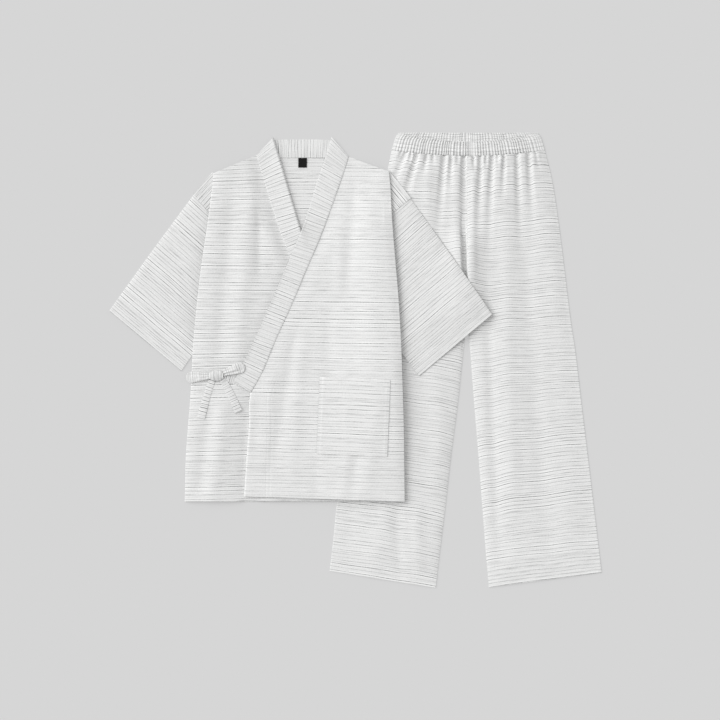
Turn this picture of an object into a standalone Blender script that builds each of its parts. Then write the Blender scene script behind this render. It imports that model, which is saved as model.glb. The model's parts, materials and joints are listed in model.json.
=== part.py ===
"""Jinbei set laid out flat: a tied cross-over jacket lies partly over its elastic-waist trousers.

Tables and sizes are in millimetres, and the scene is in metres. +X runs across the set, +Y towards the
necks and +Z up from the surface that it lies on. Right and left are the wearer's. Each piece of cloth is an
open surface with Solidify. It is laid on everything below it, which Pile keeps as a map of heights.
"""

import math

import bmesh
import bpy
import numpy as np

MM = 0.001

# Cloth
WALL = 1.0  # one layer
BAND_WALL = 1.5  # collar and ties, folded double
SEAM_GAP = 0.35  # air between pieces that touch
INNER_GAP = 0.5  # air between the two walls of a sleeve or a leg, pressed flat
LAP = 5.0  # how far a seam's under side runs beneath the piece above it
SLOPE = 1.05  # a sloping wall is this much thicker, measured straight up

# Jacket
BACK_SHARE = 0.994  # the back's width, just hidden by the fronts
TIE_WIDTH = 16.0
POCKET_WIDTH = 148.0
POCKET_HEIGHT = 161.0
POCKET_CORNER = (-75.0, -35.0)
POCKET_TURN = -2.3  # degrees, with the cloth under it
LABEL_WIDTH = 18.0
LABEL_HEIGHT = 20.0
LABEL_CORNER = (-120.0, 424.0)
BOW_LOOP_LENGTH = 60.0
BOW_LOOP_HEIGHT = 29.0
KNOT_WIDTH = 30.0
KNOT_LENGTH = 24.0
KNOT_DOME = 2.0

# Trousers
WAIST_CENTRE = 237.0
WAIST_HALF = 151.0  # half of the waistband's top edge, relaxed
WAIST_SPREAD = 10.0  # how much further each side reaches at the band's lower edge
WAIST_FRONT_TOP = 458.0
WAIST_BACK_TOP = 477.0
WAIST_SEAM = 428.0  # the band's seam at its middle
WAIST_SAG = 12.0  # how much higher the seam is at the sides
WAIST_RIBS = 40
RIB_HEIGHT = 1.3
WAIST_SEAM_GAP = 0.8  # between the band and the legs, whose edges lean a little
CROTCH = 60.0
GATHER_PUFF = 3.0  # how far the gathers stand off just under the band
GATHER_REACH = 90.0  # and how far down they fade

CELL = 3.0  # side of a cell of the height map
SETTLING_STEPS = 16  # small lifts before the last one, which clears what is left
MAP_HALF = 640.0


def table(columns, *rows):
    """A dictionary from each column's name to the numbers under it."""
    return dict(zip(columns.split(), np.array(rows, float).T))


# The body's outline: its side edges, from the shoulder down to the hem.
BODY = table(
    "near_x near_y far_x far_y",
    (-298, 392, 70, 395),
    (-304, 330, 75, 330),
    (-312, 270, 78, 270),
    (-322, 202, 84, 202),
    (-333, 110, 91, 110),
    (-342, 13, 96, 13),
    (-347, -84, 100, -84),
    (-354, -190, 102, -190),
    (-358, -298, 103, -298),
)
# The slope of the shoulders up to the collar: x, then y, of the back panel's top edge.
SHOULDER_LINE = table("x y", (-298, 392), (-208, 430), (-172, 434), (-50, 434), (-15, 427), (70, 395))

# The near edge is the front's side, the far edge is the seam with its collar.
FRONT_RIGHT = table(
    "near_x near_y far_x far_y",
    (-298, 392, -207, 430),
    (-300, 362, -193, 384),
    (-305, 325, -178, 333),
    (-312, 273, -159, 273),
    (-323, 199, -128, 201),
    (-333, 113, -88, 115),
    (-341, 21, -42, 21),
    (-346, -74, -4, -67),
    (-351, -137, 0, -137),
    (-356, -210, 4, -210),
    (-358, -297, 9, -296),
)
FRONT_LEFT = table(
    "near_x near_y far_x far_y",
    (70, 395, -15, 427),
    (73, 365, -26, 390),
    (75, 325, -44, 338),
    (78, 275, -68, 272),
    (84, 201, -99, 200),
    (91, 115, -135, 114),
    (96, 21, -178, 20),
    (99, -72, -220, -68),
    (101, -137, -225, -137),
    (102, -210, -231, -210),
    (103, -296, -236, -286),
)
# The near edge is the seam with the front, the far edge the free one, from the neck to the end.
COLLAR_RIGHT = table(
    "near_x near_y far_x far_y",
    (-208, 430, -172, 467),
    (-192, 378, -152, 400),
    (-170, 306, -129, 322),
    (-143, 231, -106, 252),
    (-100, 138, -61, 157),
    (-54, 46, -17, 64),
    (-4, -67, 33, -48),
)
COLLAR_LEFT = table(
    "near_x near_y far_x far_y",
    (-15, 427, -50, 468),
    (-26, 390, -66, 416),
    (-42, 345, -82, 369),
    (-70, 268, -111, 284),
    (-102, 192, -143, 208),
    (-134, 116, -175, 134),
    (-166, 46, -206, 62),
    (-194, -22, -235, -1),
    (-220, -68, -256, -45),
)
# The near edge is the upper one.
NECK_BAND = table(
    "near_x near_y far_x far_y",
    (-186, 450, -192, 424),
    (-170, 461, -168, 425),
    (-111, 463, -111, 425),
    (-52, 461, -54, 425),
    (-36, 450, -30, 424),
)
# The near edge is the underarm seam, the far edge the fold on top, from the armhole to the cuff.
SLEEVE_RIGHT = table(
    "near_x near_y far_x far_y", (-218, 191, -338, 347), (-292, 84, -428, 225), (-366, -23, -517, 103)
)
SLEEVE_LEFT = table(
    "near_x near_y far_x far_y", (-50, 209, 114, 343), (40, 89, 201, 221), (131, -30, 285, 99)
)
# The drop shoulder between the body's crease and the armhole seam.
SHOULDER_RIGHT = table(
    "near_x near_y far_x far_y", (-297, 391, -299, 393), (-294, 365, -319, 369), (-291, 292, -343, 347)
)
SHOULDER_LEFT = table(
    "near_x near_y far_x far_y", (69, 394, 71, 396), (67, 366, 94, 368), (62, 295, 121, 339)
)
# The near edge is the inner side, the far edge the outer fold.
LEG_RIGHT = table(
    "near_x near_y far_x far_y",
    (234, 428, 76, 440),
    (234, 366, 63, 374),
    (234, 252, 45, 257),
    (234, 91, 20, 91),
    (226, 17, 8, 17),
    (215, -88, -7, -88),
    (201, -197, -23, -193),
    (189, -304, -38, -294),
    (178, -394, -46, -373),
    (168, -478, -54, -443),
)
LEG_LEFT = table(
    "near_x near_y far_x far_y",
    (235, 428, 398, 440),
    (235, 366, 415, 366),
    (235, 252, 431, 255),
    (236, 91, 451, 91),
    (241, 17, 462, 17),
    (249, -88, 474, -85),
    (258, -197, 487, -193),
    (266, -304, 499, -294),
    (273, -394, 509, -378),
    (280, -477, 517, -446),
)
# Furrows pressed into the gathered legs, from the band down: where each starts and ends.
FURROWS = table(
    "x_top x_end y_end depth width",
    (92, 88, 350, 0.8, 8),
    (118, 117, 335, 0.9, 9),
    (142, 140, 350, 0.7, 8),
    (177, 164, 280, 1.0, 9),
    (202, 198, 350, 0.7, 8),
    (227, 232, 170, 1.1, 8),
    (256, 255, 315, 0.9, 7),
    (281, 263, 150, 1.0, 9),
    (304, 303, 360, 0.7, 8),
    (332, 404, -380, 1.0, 12),
    (360, 370, 355, 0.9, 8),
    (382, 392, 365, 0.7, 7),
)
# Soft ridges in the fronts: both ends, then height and half-width.
RIDGES_RIGHT = table(
    "x_top y_top x_end y_end height width",
    (-250, 380, -262, 60, 2.0, 20),
    (-183, 330, -196, 90, 1.5, 16),
    (-300, -70, -306, -290, 1.5, 18),
)
RIDGES_LEFT = table(
    "x_top y_top x_end y_end height width",
    (12, 400, 4, 120, 2.2, 24),
    (-104, 140, -196, -60, 1.8, 18),
)

# Middle line of each tie, from the bow outwards.
TIE_ROUTES = {
    "tie_side": table("x y", (-294, -35), (-318, -37), (-345, -41)),
    "tie_collar": table("x y", (-290, -35), (-262, -41), (-234, -50)),
    "tie_tail_right": table("x y", (-297, -33), (-304, -52), (-314, -84), (-324, -122)),
    "tie_tail_left": table("x y", (-286, -33), (-273, -50), (-258, -79), (-245, -109)),
}
KNOT_AT = (-292.0, -33.0)
BOW_LOOPS = {"bow_loop_right": 181.0, "bow_loop_left": 16.0}  # directions, in degrees from +X

COTTON = (0.80, 0.80, 0.79)
BLACK = (0.02, 0.02, 0.02)


def smooth(values, at):
    """A curve through evenly spaced values (Catmull-Rom), read at positions from 0 to 1."""
    ends = 2 * values[:1] - values[1:2], 2 * values[-1:] - values[-2:-1]
    padded = np.concatenate([ends[0], values, ends[1]])
    place = np.clip(at, 0, 1) * (len(values) - 1)
    index = np.minimum(place.astype(int), len(values) - 2)
    t = place - index
    before, start, end, after = (padded[index + step] for step in range(4))
    bend = before - 2.5 * start + 2 * end - 0.5 * after
    twist = 1.5 * (start - end) + 0.5 * (after - before)
    return start + t * ((end - before) / 2 + t * (bend + t * twist))


def even(count):
    return np.linspace(0, 1, count + 1)


def edge(outline, side, rows):
    """The points of one edge of a piece, at the given shares of its length."""
    return np.stack([smooth(outline[side + "_x"], rows), smooth(outline[side + "_y"], rows)], -1)


def between(outline, rows, across):
    """A grid of points over a piece: at each row, a line from its near edge to its far edge."""
    near = edge(outline, "near", rows)[:, None]
    far = edge(outline, "far", rows)[:, None]
    return near + (far - near) * across[None, :, None]


def along(route, rows, across, width):
    """A grid of points over a strip of even width, whose across of 0 lies on the route."""
    line = np.stack([smooth(route["x"], rows), smooth(route["y"], rows)], -1)
    way = np.gradient(line, axis=0)
    way /= np.linalg.norm(way, axis=1, keepdims=True)
    aside = np.stack([-way[:, 1], way[:, 0]], -1)
    return line[:, None] + aside[:, None] * (across * width)[None, :, None]


def ridge_height(ridges, plan):
    """Height of the soft ridges at each point of a plan."""
    total = np.zeros(plan.shape[:-1])
    names = ("x_top", "y_top", "x_end", "y_end", "height", "width")
    for x_top, y_top, x_end, y_end, height, width in zip(*(ridges[name] for name in names)):
        start = np.array([x_top, y_top])
        run = np.array([x_end, y_end]) - start
        share = ((plan - start) @ run) / (run @ run)
        foot = start + np.clip(share, 0, 1)[..., None] * run
        aside = np.linalg.norm(plan - foot, axis=-1)
        fade = np.sin(np.pi * np.clip(share, 0.02, 0.98)) ** 0.5
        total += height * fade * np.exp(-((aside / width) ** 2))
    return total


def grid_triangles(rows, columns):
    """Both ways of cutting each four-sided face of a grid in two."""
    number = np.arange(rows * columns).reshape(rows, columns)
    a, b = number[:-1, :-1].ravel(), number[:-1, 1:].ravel()
    c, d = number[1:, 1:].ravel(), number[1:, :-1].ravel()
    cuts = (a, b, c), (a, c, d), (a, b, d), (b, c, d)
    return np.concatenate([np.stack(cut, -1) for cut in cuts])


def lattice(corners):
    """Weights that spread samples over each triangle, no further apart than a cell."""
    sides = np.linalg.norm((corners - np.roll(corners, 1, axis=1))[..., :2], axis=-1)
    steps = max(2, math.ceil(sides.max() / (0.7 * CELL)))
    first, second = np.meshgrid(np.arange(steps + 1), np.arange(steps + 1))
    inside = first + second <= steps
    first, second = first[inside], second[inside]
    return np.stack([first, second, steps - first - second], -1) / steps


class Pile:
    """How high the pieces laid down so far reach, cell by cell."""

    def __init__(self, top=None):
        cells = int(2 * MAP_HALF / CELL)
        self.top = np.zeros((cells, cells)) if top is None else top.copy()

    def cell(self, places):
        index = ((places[..., :2] + MAP_HALF) / CELL).astype(int)
        return index[..., 0], index[..., 1]

    def add(self, corners):
        """Adds triangles, given by their corners."""
        points = np.einsum("wk,tkd->twd", lattice(corners), corners)
        np.maximum.at(self.top, self.cell(points), points[..., 2])

    def add_object(self, obj):
        bpy.context.view_layer.update()
        evaluated = obj.evaluated_get(bpy.context.evaluated_depsgraph_get())
        mesh = evaluated.to_mesh()
        mesh.calc_loop_triangles()
        points = np.array([vertex.co for vertex in mesh.vertices]) / MM
        self.add(points[np.array([triangle.vertices for triangle in mesh.loop_triangles])])
        evaluated.to_mesh_clear()

    def clear_height(self, places, gap):
        """The lowest that cloth may lie: 0 on the bare surface, or the gap above what is there."""
        widened = self.top.copy()
        for shift_x in (-1, 0, 1):
            for shift_y in (-1, 0, 1):
                np.maximum(widened, np.roll(self.top, (shift_x, shift_y), (0, 1)), out=widened)
        found = widened[self.cell(places)]
        return np.where(found > 0, found + gap, 0)

    def rest(self, plan, gap=SEAM_GAP):
        """Heights that lay a grid of points on the pile, clear of it all over each face."""
        triangles = grid_triangles(*plan.shape[:2])
        corners = plan.reshape(-1, 2)[triangles]
        weights = lattice(corners)
        needed = self.clear_height(np.einsum("wk,tkd->twd", weights, corners), gap)
        height = self.clear_height(plan, gap).ravel()
        share = weights / (weights**2).sum(axis=1, keepdims=True)
        for strength in (0.2,) * SETTLING_STEPS + (1.0,):
            lack = np.maximum(needed - height[triangles] @ weights.T, 0)
            lift = (lack[:, :, None] * share[None]).max(axis=1) * strength
            rise = np.zeros_like(height)
            np.maximum.at(rise, triangles, lift)
            height += rise
        return height.reshape(plan.shape[:2])


def material(name, color, roughness):
    made = bpy.data.materials.new(name)
    made.use_nodes = True
    shader = made.node_tree.nodes["Principled BSDF"]
    shader.inputs["Base Color"].default_value = (*color, 1)
    shader.inputs["Roughness"].default_value = roughness
    shader.inputs["Metallic"].default_value = 0
    made.diffuse_color = (*color, 1)
    return made


def add_object(name, mesh, color):
    mesh.materials.append(material(name, color, 0.9))
    mesh.shade_smooth()
    mesh.set_sharp_from_angle(angle=math.radians(50))
    obj = bpy.data.objects.new(name, mesh)
    bpy.data.collections["jinbei_set"].objects.link(obj)
    obj.parent = bpy.data.objects["jinbei_set_origin"]
    return obj


def cloth(name, points, wall=WALL, color=COTTON, inwards=False, ring=False):
    """A grid of points made cloth: the underside of a flat piece, or the outer face of a folded one."""
    rows, columns = points.shape[:2]
    shape = bmesh.new()
    bmesh.ops.create_grid(shape, x_segments=columns - 1, y_segments=rows - 1, size=1)
    for vertex, point in zip(shape.verts, points.reshape(-1, 3)):
        vertex.co = point * MM
    if ring:
        bmesh.ops.remove_doubles(shape, verts=shape.verts[:], dist=1e-6)
    shape.normal_update()
    shape.faces.ensure_lookup_table()
    if shape.faces[0].normal.z < 0:
        bmesh.ops.reverse_faces(shape, faces=shape.faces[:])
    mesh = bpy.data.meshes.new(name)
    shape.to_mesh(mesh)
    shape.free()
    obj = add_object(name, mesh, color)
    solidify = obj.modifiers.new("Wall", "SOLIDIFY")
    solidify.thickness = wall * MM
    solidify.offset = -1 if inwards else 1
    return obj


def lay(pile, name, plan, relief=0.0, wall=WALL, color=COTTON):
    """Lays one flat piece on the pile."""
    height = pile.rest(plan) + relief
    obj = cloth(name, np.concatenate([plan, height[..., None]], -1), wall, color)
    pile.add_object(obj)
    return obj


def lay_folded(pile, name, outline, rows, columns, hollow, sag=None, wall=WALL):
    """Lays a piece folded in two along its far edge: the top wall, the fold, then the wall beneath.

    columns gives how many faces cross the top wall, the fold and the lower wall. hollow gives the
    air between the walls at each point of the top wall, and sag moves points along Y.
    """
    over, turn, under = columns
    radius = wall + INNER_GAP / 2
    near, far = edge(outline, "near", rows), edge(outline, "far", rows)
    length = np.linalg.norm(far - near, axis=1)[:, None, None]
    way = (far - near)[:, None] / length
    start = near[:, None]
    flat = length - radius
    top_plan = start + way * flat * even(over)[None, :, None]
    low_plan = start + way * flat * even(under)[None, ::-1, None]
    if sag:
        top_plan[..., 1] -= sag(top_plan, rows)
        low_plan[..., 1] -= sag(low_plan, rows)
    low = pile.rest(low_plan)
    inside = Pile(pile.top)
    low_points = np.concatenate([low_plan, (low + wall * SLOPE)[..., None]], -1).reshape(-1, 3)
    inside.add(low_points[grid_triangles(*low.shape)])
    top = inside.rest(top_plan, INNER_GAP) + wall * SLOPE + hollow(top_plan)
    top[:, -1] = np.maximum(top[:, -1], low[:, 0] + 2 * radius)
    angle = np.pi * even(turn)[1:-1]
    reach = (flat[:, :, 0] + radius * np.sin(angle)[None])[..., None]
    turn_plan = start + way * reach
    middle = (top[:, -1:] + low[:, :1]) / 2
    turned = middle + (top[:, -1:] - low[:, :1]) / 2 * np.cos(angle)[None]
    plan = np.concatenate([top_plan, turn_plan, low_plan], 1)
    height = np.concatenate([top, turned, low], 1)
    obj = cloth(name, np.concatenate([plan, height[..., None]], -1), wall, inwards=True)
    pile.add_object(obj)
    return obj


def waist_seam(x):
    """Height of the band's lower edge, a shallow curve that ends at the sides."""
    return WAIST_SEAM + WAIST_SAG * waist_share(x) ** 2


def waist_share(x):
    return np.clip(np.abs(x - WAIST_CENTRE) / (WAIST_HALF + WAIST_SPREAD), 0, 1)


def waist_sag(plan, rows):
    """How far the legs' rows, straight in their table, sag below the band to follow its curve."""
    share = waist_share(plan[..., 0])
    return WAIST_SAG * (share - share**2) * (1 - rows[:, None]) ** 4


def gather_height(plan):
    """How far the legs' front stands off: a puff under the band, cut by the furrows."""
    x, y = plan[..., 0], plan[..., 1]
    drop = np.clip(waist_seam(x) - y, 0, None)
    furrow = np.zeros_like(x)
    names = ("x_top", "x_end", "y_end", "depth", "width")
    for x_top, x_end, y_end, depth, width in zip(*(FURROWS[name] for name in names)):
        share = np.clip(drop / (WAIST_SEAM - y_end), 0, 1)
        middle = x_top + (x_end - x_top) * share
        spread = width * (1 + 0.5 * share)
        furrow += depth * (1 - share**2) * np.exp(-(((x - middle) / spread) ** 2))
    puff = 0.6 + (GATHER_PUFF - 0.6) * np.exp(-((drop / GATHER_REACH) ** 2)) + 0.7 * (drop > 0)
    return puff * (1 - np.clip(furrow, 0, 1))


def leg_hollow(plan):
    """Air inside a leg: none along the inseam below the crotch, nor at the outer fold."""
    columns = plan.shape[1]
    across = even(columns - 1)[None]
    side = 1 - across**8
    seamed = np.clip((CROTCH + 40 - plan[..., 1]) / 80, 0, 1)
    inner = 1 - seamed * (1 - np.clip(across * 6, 0, 1) ** 0.7)
    return gather_height(plan) * side * inner


def sleeve_hollow(plan):
    across = even(plan.shape[1] - 1)[None]
    return 0.8 * np.sin(np.pi * across) ** 0.5 * np.ones(plan.shape[:2])


def leg_rows():
    """Rows closer together near the gathers."""
    return even(14) ** 1.5


def trousers(pile):
    """Both legs and the band lie side by side on the bare surface."""
    for name, outline in (("leg_right", LEG_RIGHT), ("leg_left", LEG_LEFT)):
        leg = lay_folded(Pile(), name, outline, leg_rows(), (30, 4, 6), leg_hollow, waist_sag)
        pile.add_object(leg)
    waistband(pile)


def waistband(pile):
    """A ribbed ring pressed flat: the front wall with its ribs, a fold, the plain back wall, a fold."""
    across = even(3 * WAIST_RIBS)
    up = even(3)[:, None]
    radius = BAND_WALL + INNER_GAP
    half = WAIST_HALF + WAIST_SPREAD * (1 - up) - radius
    front_x = WAIST_CENTRE + half * (2 * across[None] - 1)
    bow = ((front_x - WAIST_CENTRE) / half) ** 2
    low_edge = waist_seam(front_x) + WAIST_SEAM_GAP
    top_edge = WAIST_FRONT_TOP + (WAIST_BACK_TOP - WAIST_FRONT_TOP - 2) * bow
    front_y = low_edge + (top_edge - low_edge) * up
    ribs = np.cos(2 * np.pi * WAIST_RIBS * across)[None]
    uneven = 1 + 0.3 * np.sin(17 * across) * np.sin(41 * across + 1)
    sides = 1 - np.abs(2 * across - 1)[None] ** 6
    puff = 1.2 + 1.2 * np.sin(np.pi * up)
    front_z = 2 * radius + (puff + RIB_HEIGHT * uneven[None] * (1 + ribs) / 2) * sides
    back_x = WAIST_CENTRE + half * np.linspace(1, -1, 9)[None]
    back_low = waist_seam(back_x) + WAIST_SEAM_GAP
    back_y = back_low + (WAIST_BACK_TOP - back_low) * up
    back_z = np.zeros_like(back_x)
    angle = np.pi * even(4)[1:-1][None]
    right_x = front_x[:, -1:] + radius * np.sin(angle)
    left_x = front_x[:, :1] - radius * np.sin(angle)
    turn_z = radius + radius * np.cos(angle) + 0 * right_x
    share = (1 - np.cos(angle)) / 2
    right_y = front_y[:, -1:] + (back_y[:, :1] - front_y[:, -1:]) * share
    left_y = back_y[:, -1:] + (front_y[:, :1] - back_y[:, -1:]) * share
    x = np.concatenate([front_x, right_x, back_x, left_x, front_x[:, :1]], 1)
    y = np.concatenate([front_y, right_y, back_y, left_y, front_y[:, :1]], 1)
    z = np.concatenate([front_z, turn_z, back_z, turn_z[:, ::-1], front_z[:, :1]], 1)
    pile.add_object(cloth("waistband", np.stack([x, y, z], -1), inwards=True, ring=True))


def back_panel(pile):
    """Rows fan from the shoulder line at the top to the level hem."""
    rows, across = even(16), even(14)
    plan = between(BODY, rows, across)
    line_x = -298 + (70 + 298) * across
    line_y = np.interp(line_x, SHOULDER_LINE["x"], SHOULDER_LINE["y"])
    rise = line_y - plan[0, :, 1]
    plan[..., 1] += rise[None] * (1 - rows[:, None]) ** 3
    middle = plan[:, :, 0].mean(axis=1)[:, None]
    plan[..., 0] = middle + (plan[..., 0] - middle) * BACK_SHARE
    lay(pile, "back_panel", plan)


def front(pile, name, outline, ridges):
    plan = between(outline, even(18), even(9))
    seam = plan[:, -1] - plan[:, -2]
    plan[:, -1] += LAP * seam / np.linalg.norm(seam, axis=1, keepdims=True)
    lay(pile, name, plan, ridge_height(ridges, plan))


def collar(pile, name, outline):
    """A double band along the front's edge, which it covers by a seam's width."""
    lay(pile, name, between(outline, even(20), even(3)), wall=BAND_WALL)


def pocket(pile):
    """A patch on the left front."""
    turn = math.radians(POCKET_TURN)
    right = np.array([math.cos(turn), math.sin(turn)])
    down = np.array([math.sin(turn), -math.cos(turn)])
    corner = np.array(POCKET_CORNER)
    downwards = POCKET_HEIGHT * even(8)[:, None, None] * down
    lay(pile, "pocket", corner + downwards + POCKET_WIDTH * even(7)[None, :, None] * right)


def label(pile):
    corner = np.array(LABEL_CORNER)
    down = even(2)[:, None, None] * np.array([0.0, -LABEL_HEIGHT])
    right = even(2)[None, :, None] * np.array([LABEL_WIDTH, 0.0])
    lay(pile, "label", corner + down + right, color=BLACK)


def sleeves(pile):
    """Each sleeve, folded along its top, with the drop shoulder lapped over its armhole end."""
    for side, sleeve, shoulder in (
        ("right", SLEEVE_RIGHT, SHOULDER_RIGHT),
        ("left", SLEEVE_LEFT, SHOULDER_LEFT),
    ):
        lay_folded(pile, "sleeve_" + side, sleeve, even(11), (9, 4, 7), sleeve_hollow)
        lay(pile, "shoulder_" + side, between(shoulder, even(5), even(4)))


def bow(pile):
    """Two ties, two hanging ends, two loops and the knot that sits on them."""
    centre = np.array(KNOT_AT)
    for name, route in TIE_ROUTES.items():
        lay(pile, name, along(route, even(6), np.linspace(-0.5, 0.5, 3), TIE_WIDTH))
    for name, direction in BOW_LOOPS.items():
        turn = math.radians(direction)
        out = np.array([math.cos(turn), math.sin(turn)])
        aside = np.array([-out[1], out[0]])
        shares = np.linspace(-0.5, 0.5, 5)
        narrow = TIE_WIDTH / BOW_LOOP_HEIGHT
        near = centre + 7 * out + BOW_LOOP_HEIGHT * narrow * shares[:, None] * aside
        reach = BOW_LOOP_LENGTH + 3 - 30 * np.abs(shares[:, None]) ** 2.5
        far = centre + reach * out + BOW_LOOP_HEIGHT * shares[:, None] * aside
        columns = dict(near_x=near[:, 0], near_y=near[:, 1], far_x=far[:, 0], far_y=far[:, 1])
        lay_folded(pile, name, columns, even(6), (7, 4, 5), loop_hollow)
    knot(pile)


def loop_hollow(plan):
    across = even(plan.shape[1] - 1)[None]
    return 2.2 * np.sin(np.pi * across) * np.ones(plan.shape[:2])


def knot(pile):
    """A turn of the tie, drawn over the loops' inner ends and down on each side."""
    shares = np.linspace(-0.5, 0.5, 7)
    across, up = np.meshgrid(shares, shares)
    plan = np.stack([KNOT_WIDTH * across * (1 - 0.9 * up**2), KNOT_LENGTH * up * (1 - 0.9 * across**2)], -1)
    dome = KNOT_DOME * np.cos(np.pi * across) * np.cos(np.pi * up)
    lay(pile, "bow_knot", np.array(KNOT_AT) + plan, dome, BAND_WALL)


def jacket(pile):
    """From the surface up, in the order in which the pieces lie on each other."""
    back_panel(pile)
    lay(pile, "collar_neck", between(NECK_BAND, even(8), even(3)), wall=BAND_WALL)
    label(pile)
    sleeves(pile)
    front(pile, "front_right", FRONT_RIGHT, RIDGES_RIGHT)
    collar(pile, "collar_right", COLLAR_RIGHT)
    front(pile, "front_left", FRONT_LEFT, RIDGES_LEFT)
    collar(pile, "collar_left", COLLAR_LEFT)
    pocket(pile)
    bow(pile)


def centre_on_origin():
    """Moves the whole set so that the middle of its underside is the origin."""
    bpy.context.view_layer.update()
    graph = bpy.context.evaluated_depsgraph_get()
    corners = []
    for obj in bpy.data.collections["jinbei_set"].objects:
        if obj.type == "MESH":
            corners += [tuple(corner) for corner in obj.evaluated_get(graph).bound_box]
    low, high = np.min(corners, axis=0), np.max(corners, axis=0)
    middle = (low + high) / 2
    bpy.data.objects["jinbei_set_origin"].location = (-middle[0], -middle[1], -low[2])


def main():
    for obj in list(bpy.data.objects):
        bpy.data.objects.remove(obj)
    collection = bpy.data.collections.new("jinbei_set")
    bpy.context.scene.collection.children.link(collection)
    collection.objects.link(bpy.data.objects.new("jinbei_set_origin", None))
    pile = Pile()
    trousers(pile)
    jacket(pile)
    centre_on_origin()


main()
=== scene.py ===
# %% [markdown]
# # A jinbei set, laid out flat
#
# A jinbei is a loose summer jacket with short sleeves, worn with wide trousers. This one is
# off-white cotton with thin grey lines across it. The jacket lies partly over the trousers, tied
# with a bow.
#
# Cloth on a table is sheets on top of sheets. So each sheet here is shaped as a fine grid of
# points, laid on all that is below it, and only then given a thickness. The packed model comes
# first, because every piece stands for one of its nodes.

# %% Load the packed model
import json
import math

import bpy
import mathutils
import numpy as np
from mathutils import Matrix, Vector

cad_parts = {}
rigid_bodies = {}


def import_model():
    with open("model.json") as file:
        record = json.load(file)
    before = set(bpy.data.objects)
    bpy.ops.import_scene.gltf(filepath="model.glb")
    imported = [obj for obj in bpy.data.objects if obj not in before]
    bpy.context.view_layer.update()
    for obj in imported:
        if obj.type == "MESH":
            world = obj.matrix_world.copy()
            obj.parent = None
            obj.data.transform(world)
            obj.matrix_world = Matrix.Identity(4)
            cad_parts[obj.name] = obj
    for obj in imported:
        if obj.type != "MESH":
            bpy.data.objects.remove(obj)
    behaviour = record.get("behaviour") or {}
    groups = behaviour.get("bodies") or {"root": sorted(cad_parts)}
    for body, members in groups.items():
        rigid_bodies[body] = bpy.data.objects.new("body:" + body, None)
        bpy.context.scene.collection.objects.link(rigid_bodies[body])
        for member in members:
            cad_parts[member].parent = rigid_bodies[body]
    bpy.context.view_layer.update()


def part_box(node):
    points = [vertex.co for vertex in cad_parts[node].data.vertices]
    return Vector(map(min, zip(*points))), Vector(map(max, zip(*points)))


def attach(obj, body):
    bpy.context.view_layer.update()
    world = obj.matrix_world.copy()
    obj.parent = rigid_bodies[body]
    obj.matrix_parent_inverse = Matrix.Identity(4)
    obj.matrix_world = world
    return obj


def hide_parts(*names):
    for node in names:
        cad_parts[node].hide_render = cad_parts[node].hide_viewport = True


for left_over in list(bpy.data.objects):
    bpy.data.objects.remove(left_over)
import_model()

# %% [markdown]
# ## Sizes
#
# All tables here are in millimetres, as a pattern cutter would write them, and +Y points towards
# the necks. The page is the surface that the set lies on. The waistband's node says how far the
# page's middle lies from the frame's origin, so every piece lands where its node is.

# %% Sizes of cloth and page
MM = 0.001
WALL = 0.55  # one sheet of cotton
BAND_WALL = 1.0  # a band that is folded double
GAP = 0.2  # between two sheets that touch
WAIST_BACK_TOP = 477.0
PAGE_SHIFT = np.array([0.0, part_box("waistband")[1].y / MM - WAIST_BACK_TOP, 0.0])
print("the page is shifted by", PAGE_SHIFT, "mm")

# %% [markdown]
# ## The cutting list
#
# Each piece has a row: how far along the bolt of cloth its cut begins, its finish, how it is
# held, and what it rests on. Right and left are the wearer's.

# %% The pieces
PIECES = {
    "leg_right": (18842.6, "plain", "laid", []),
    "leg_left": (25129.4, "plain", "laid", []),
    # The waistband's pale cotton is partly painted light, against the shade of its ribs.
    "waistband": (7577.9, "pale", "gathered", []),
    "back_panel": (5058.7, "plain", "laid", ["leg_right"]),
    "collar_neck": (28593.3, "plain", "laid", ["back_panel"]),
    "label": (0.0, "label", "laid", ["back_panel"]),
    "sleeve_right": (5371.0, "plain", "laid", ["back_panel"]),
    "sleeve_left": (30202.6, "plain", "laid", ["back_panel", "leg_right"]),
    "shoulder_right": (30954.4, "dark", "laid", ["sleeve_right"]),
    "shoulder_left": (28100.7, "dark", "laid", ["sleeve_left"]),
    "front_right": (18831.1, "plain", "laid", ["back_panel", "sleeve_right"]),
    "collar_right": (14039.5, "plain", "laid", ["front_right"]),
    "front_left": (21662.4, "pale", "laid", ["front_right", "sleeve_left"]),
    # The left collar's pale cotton is partly painted light, against the shade of its slope.
    "collar_left": (17587.4, "pale", "laid", ["front_left"]),
    "pocket": (4516.9, "plain", "laid", ["front_left"]),
    "tie_side": (39006.0, "dark", "laid", ["front_right"]),
    "tie_collar": (48998.0, "dark", "laid", ["front_right"]),
    "tie_tail_right": (18280.8, "dark", "laid", ["front_right"]),
    "tie_tail_left": (28762.0, "dark", "laid", ["front_right"]),
    "bow_loop_right": (13117.0, "dark", "folded", ["tie_side"]),
    "bow_loop_left": (7093.6, "dark", "folded", ["tie_collar"]),
    "bow_knot": (31248.8, "dark", "folded", ["bow_loop_right", "bow_loop_left"]),
}
print(len(PIECES), "pieces to cut")

# %% [markdown]
# ## Outlines
#
# A piece of cloth has two long edges, here called near and far. A table gives a few matching
# points on both, and a smooth curve runs through them. A grid of points is then spread between
# the edges. That is quicker to read and to change than a mesh pushed about by hand, and the rows
# of the grid follow the cloth, so its woven lines can follow them too.

# %% Tables and curves
EDGES = "near_x near_y far_x far_y"
MARK_STEP = 0.003


def table(columns, *rows):
    """A dictionary from each column's name to the numbers under it."""
    return dict(zip(columns.split(), np.array(rows, float).T))


def even(count):
    return np.linspace(0, 1, count + 1)


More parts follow.
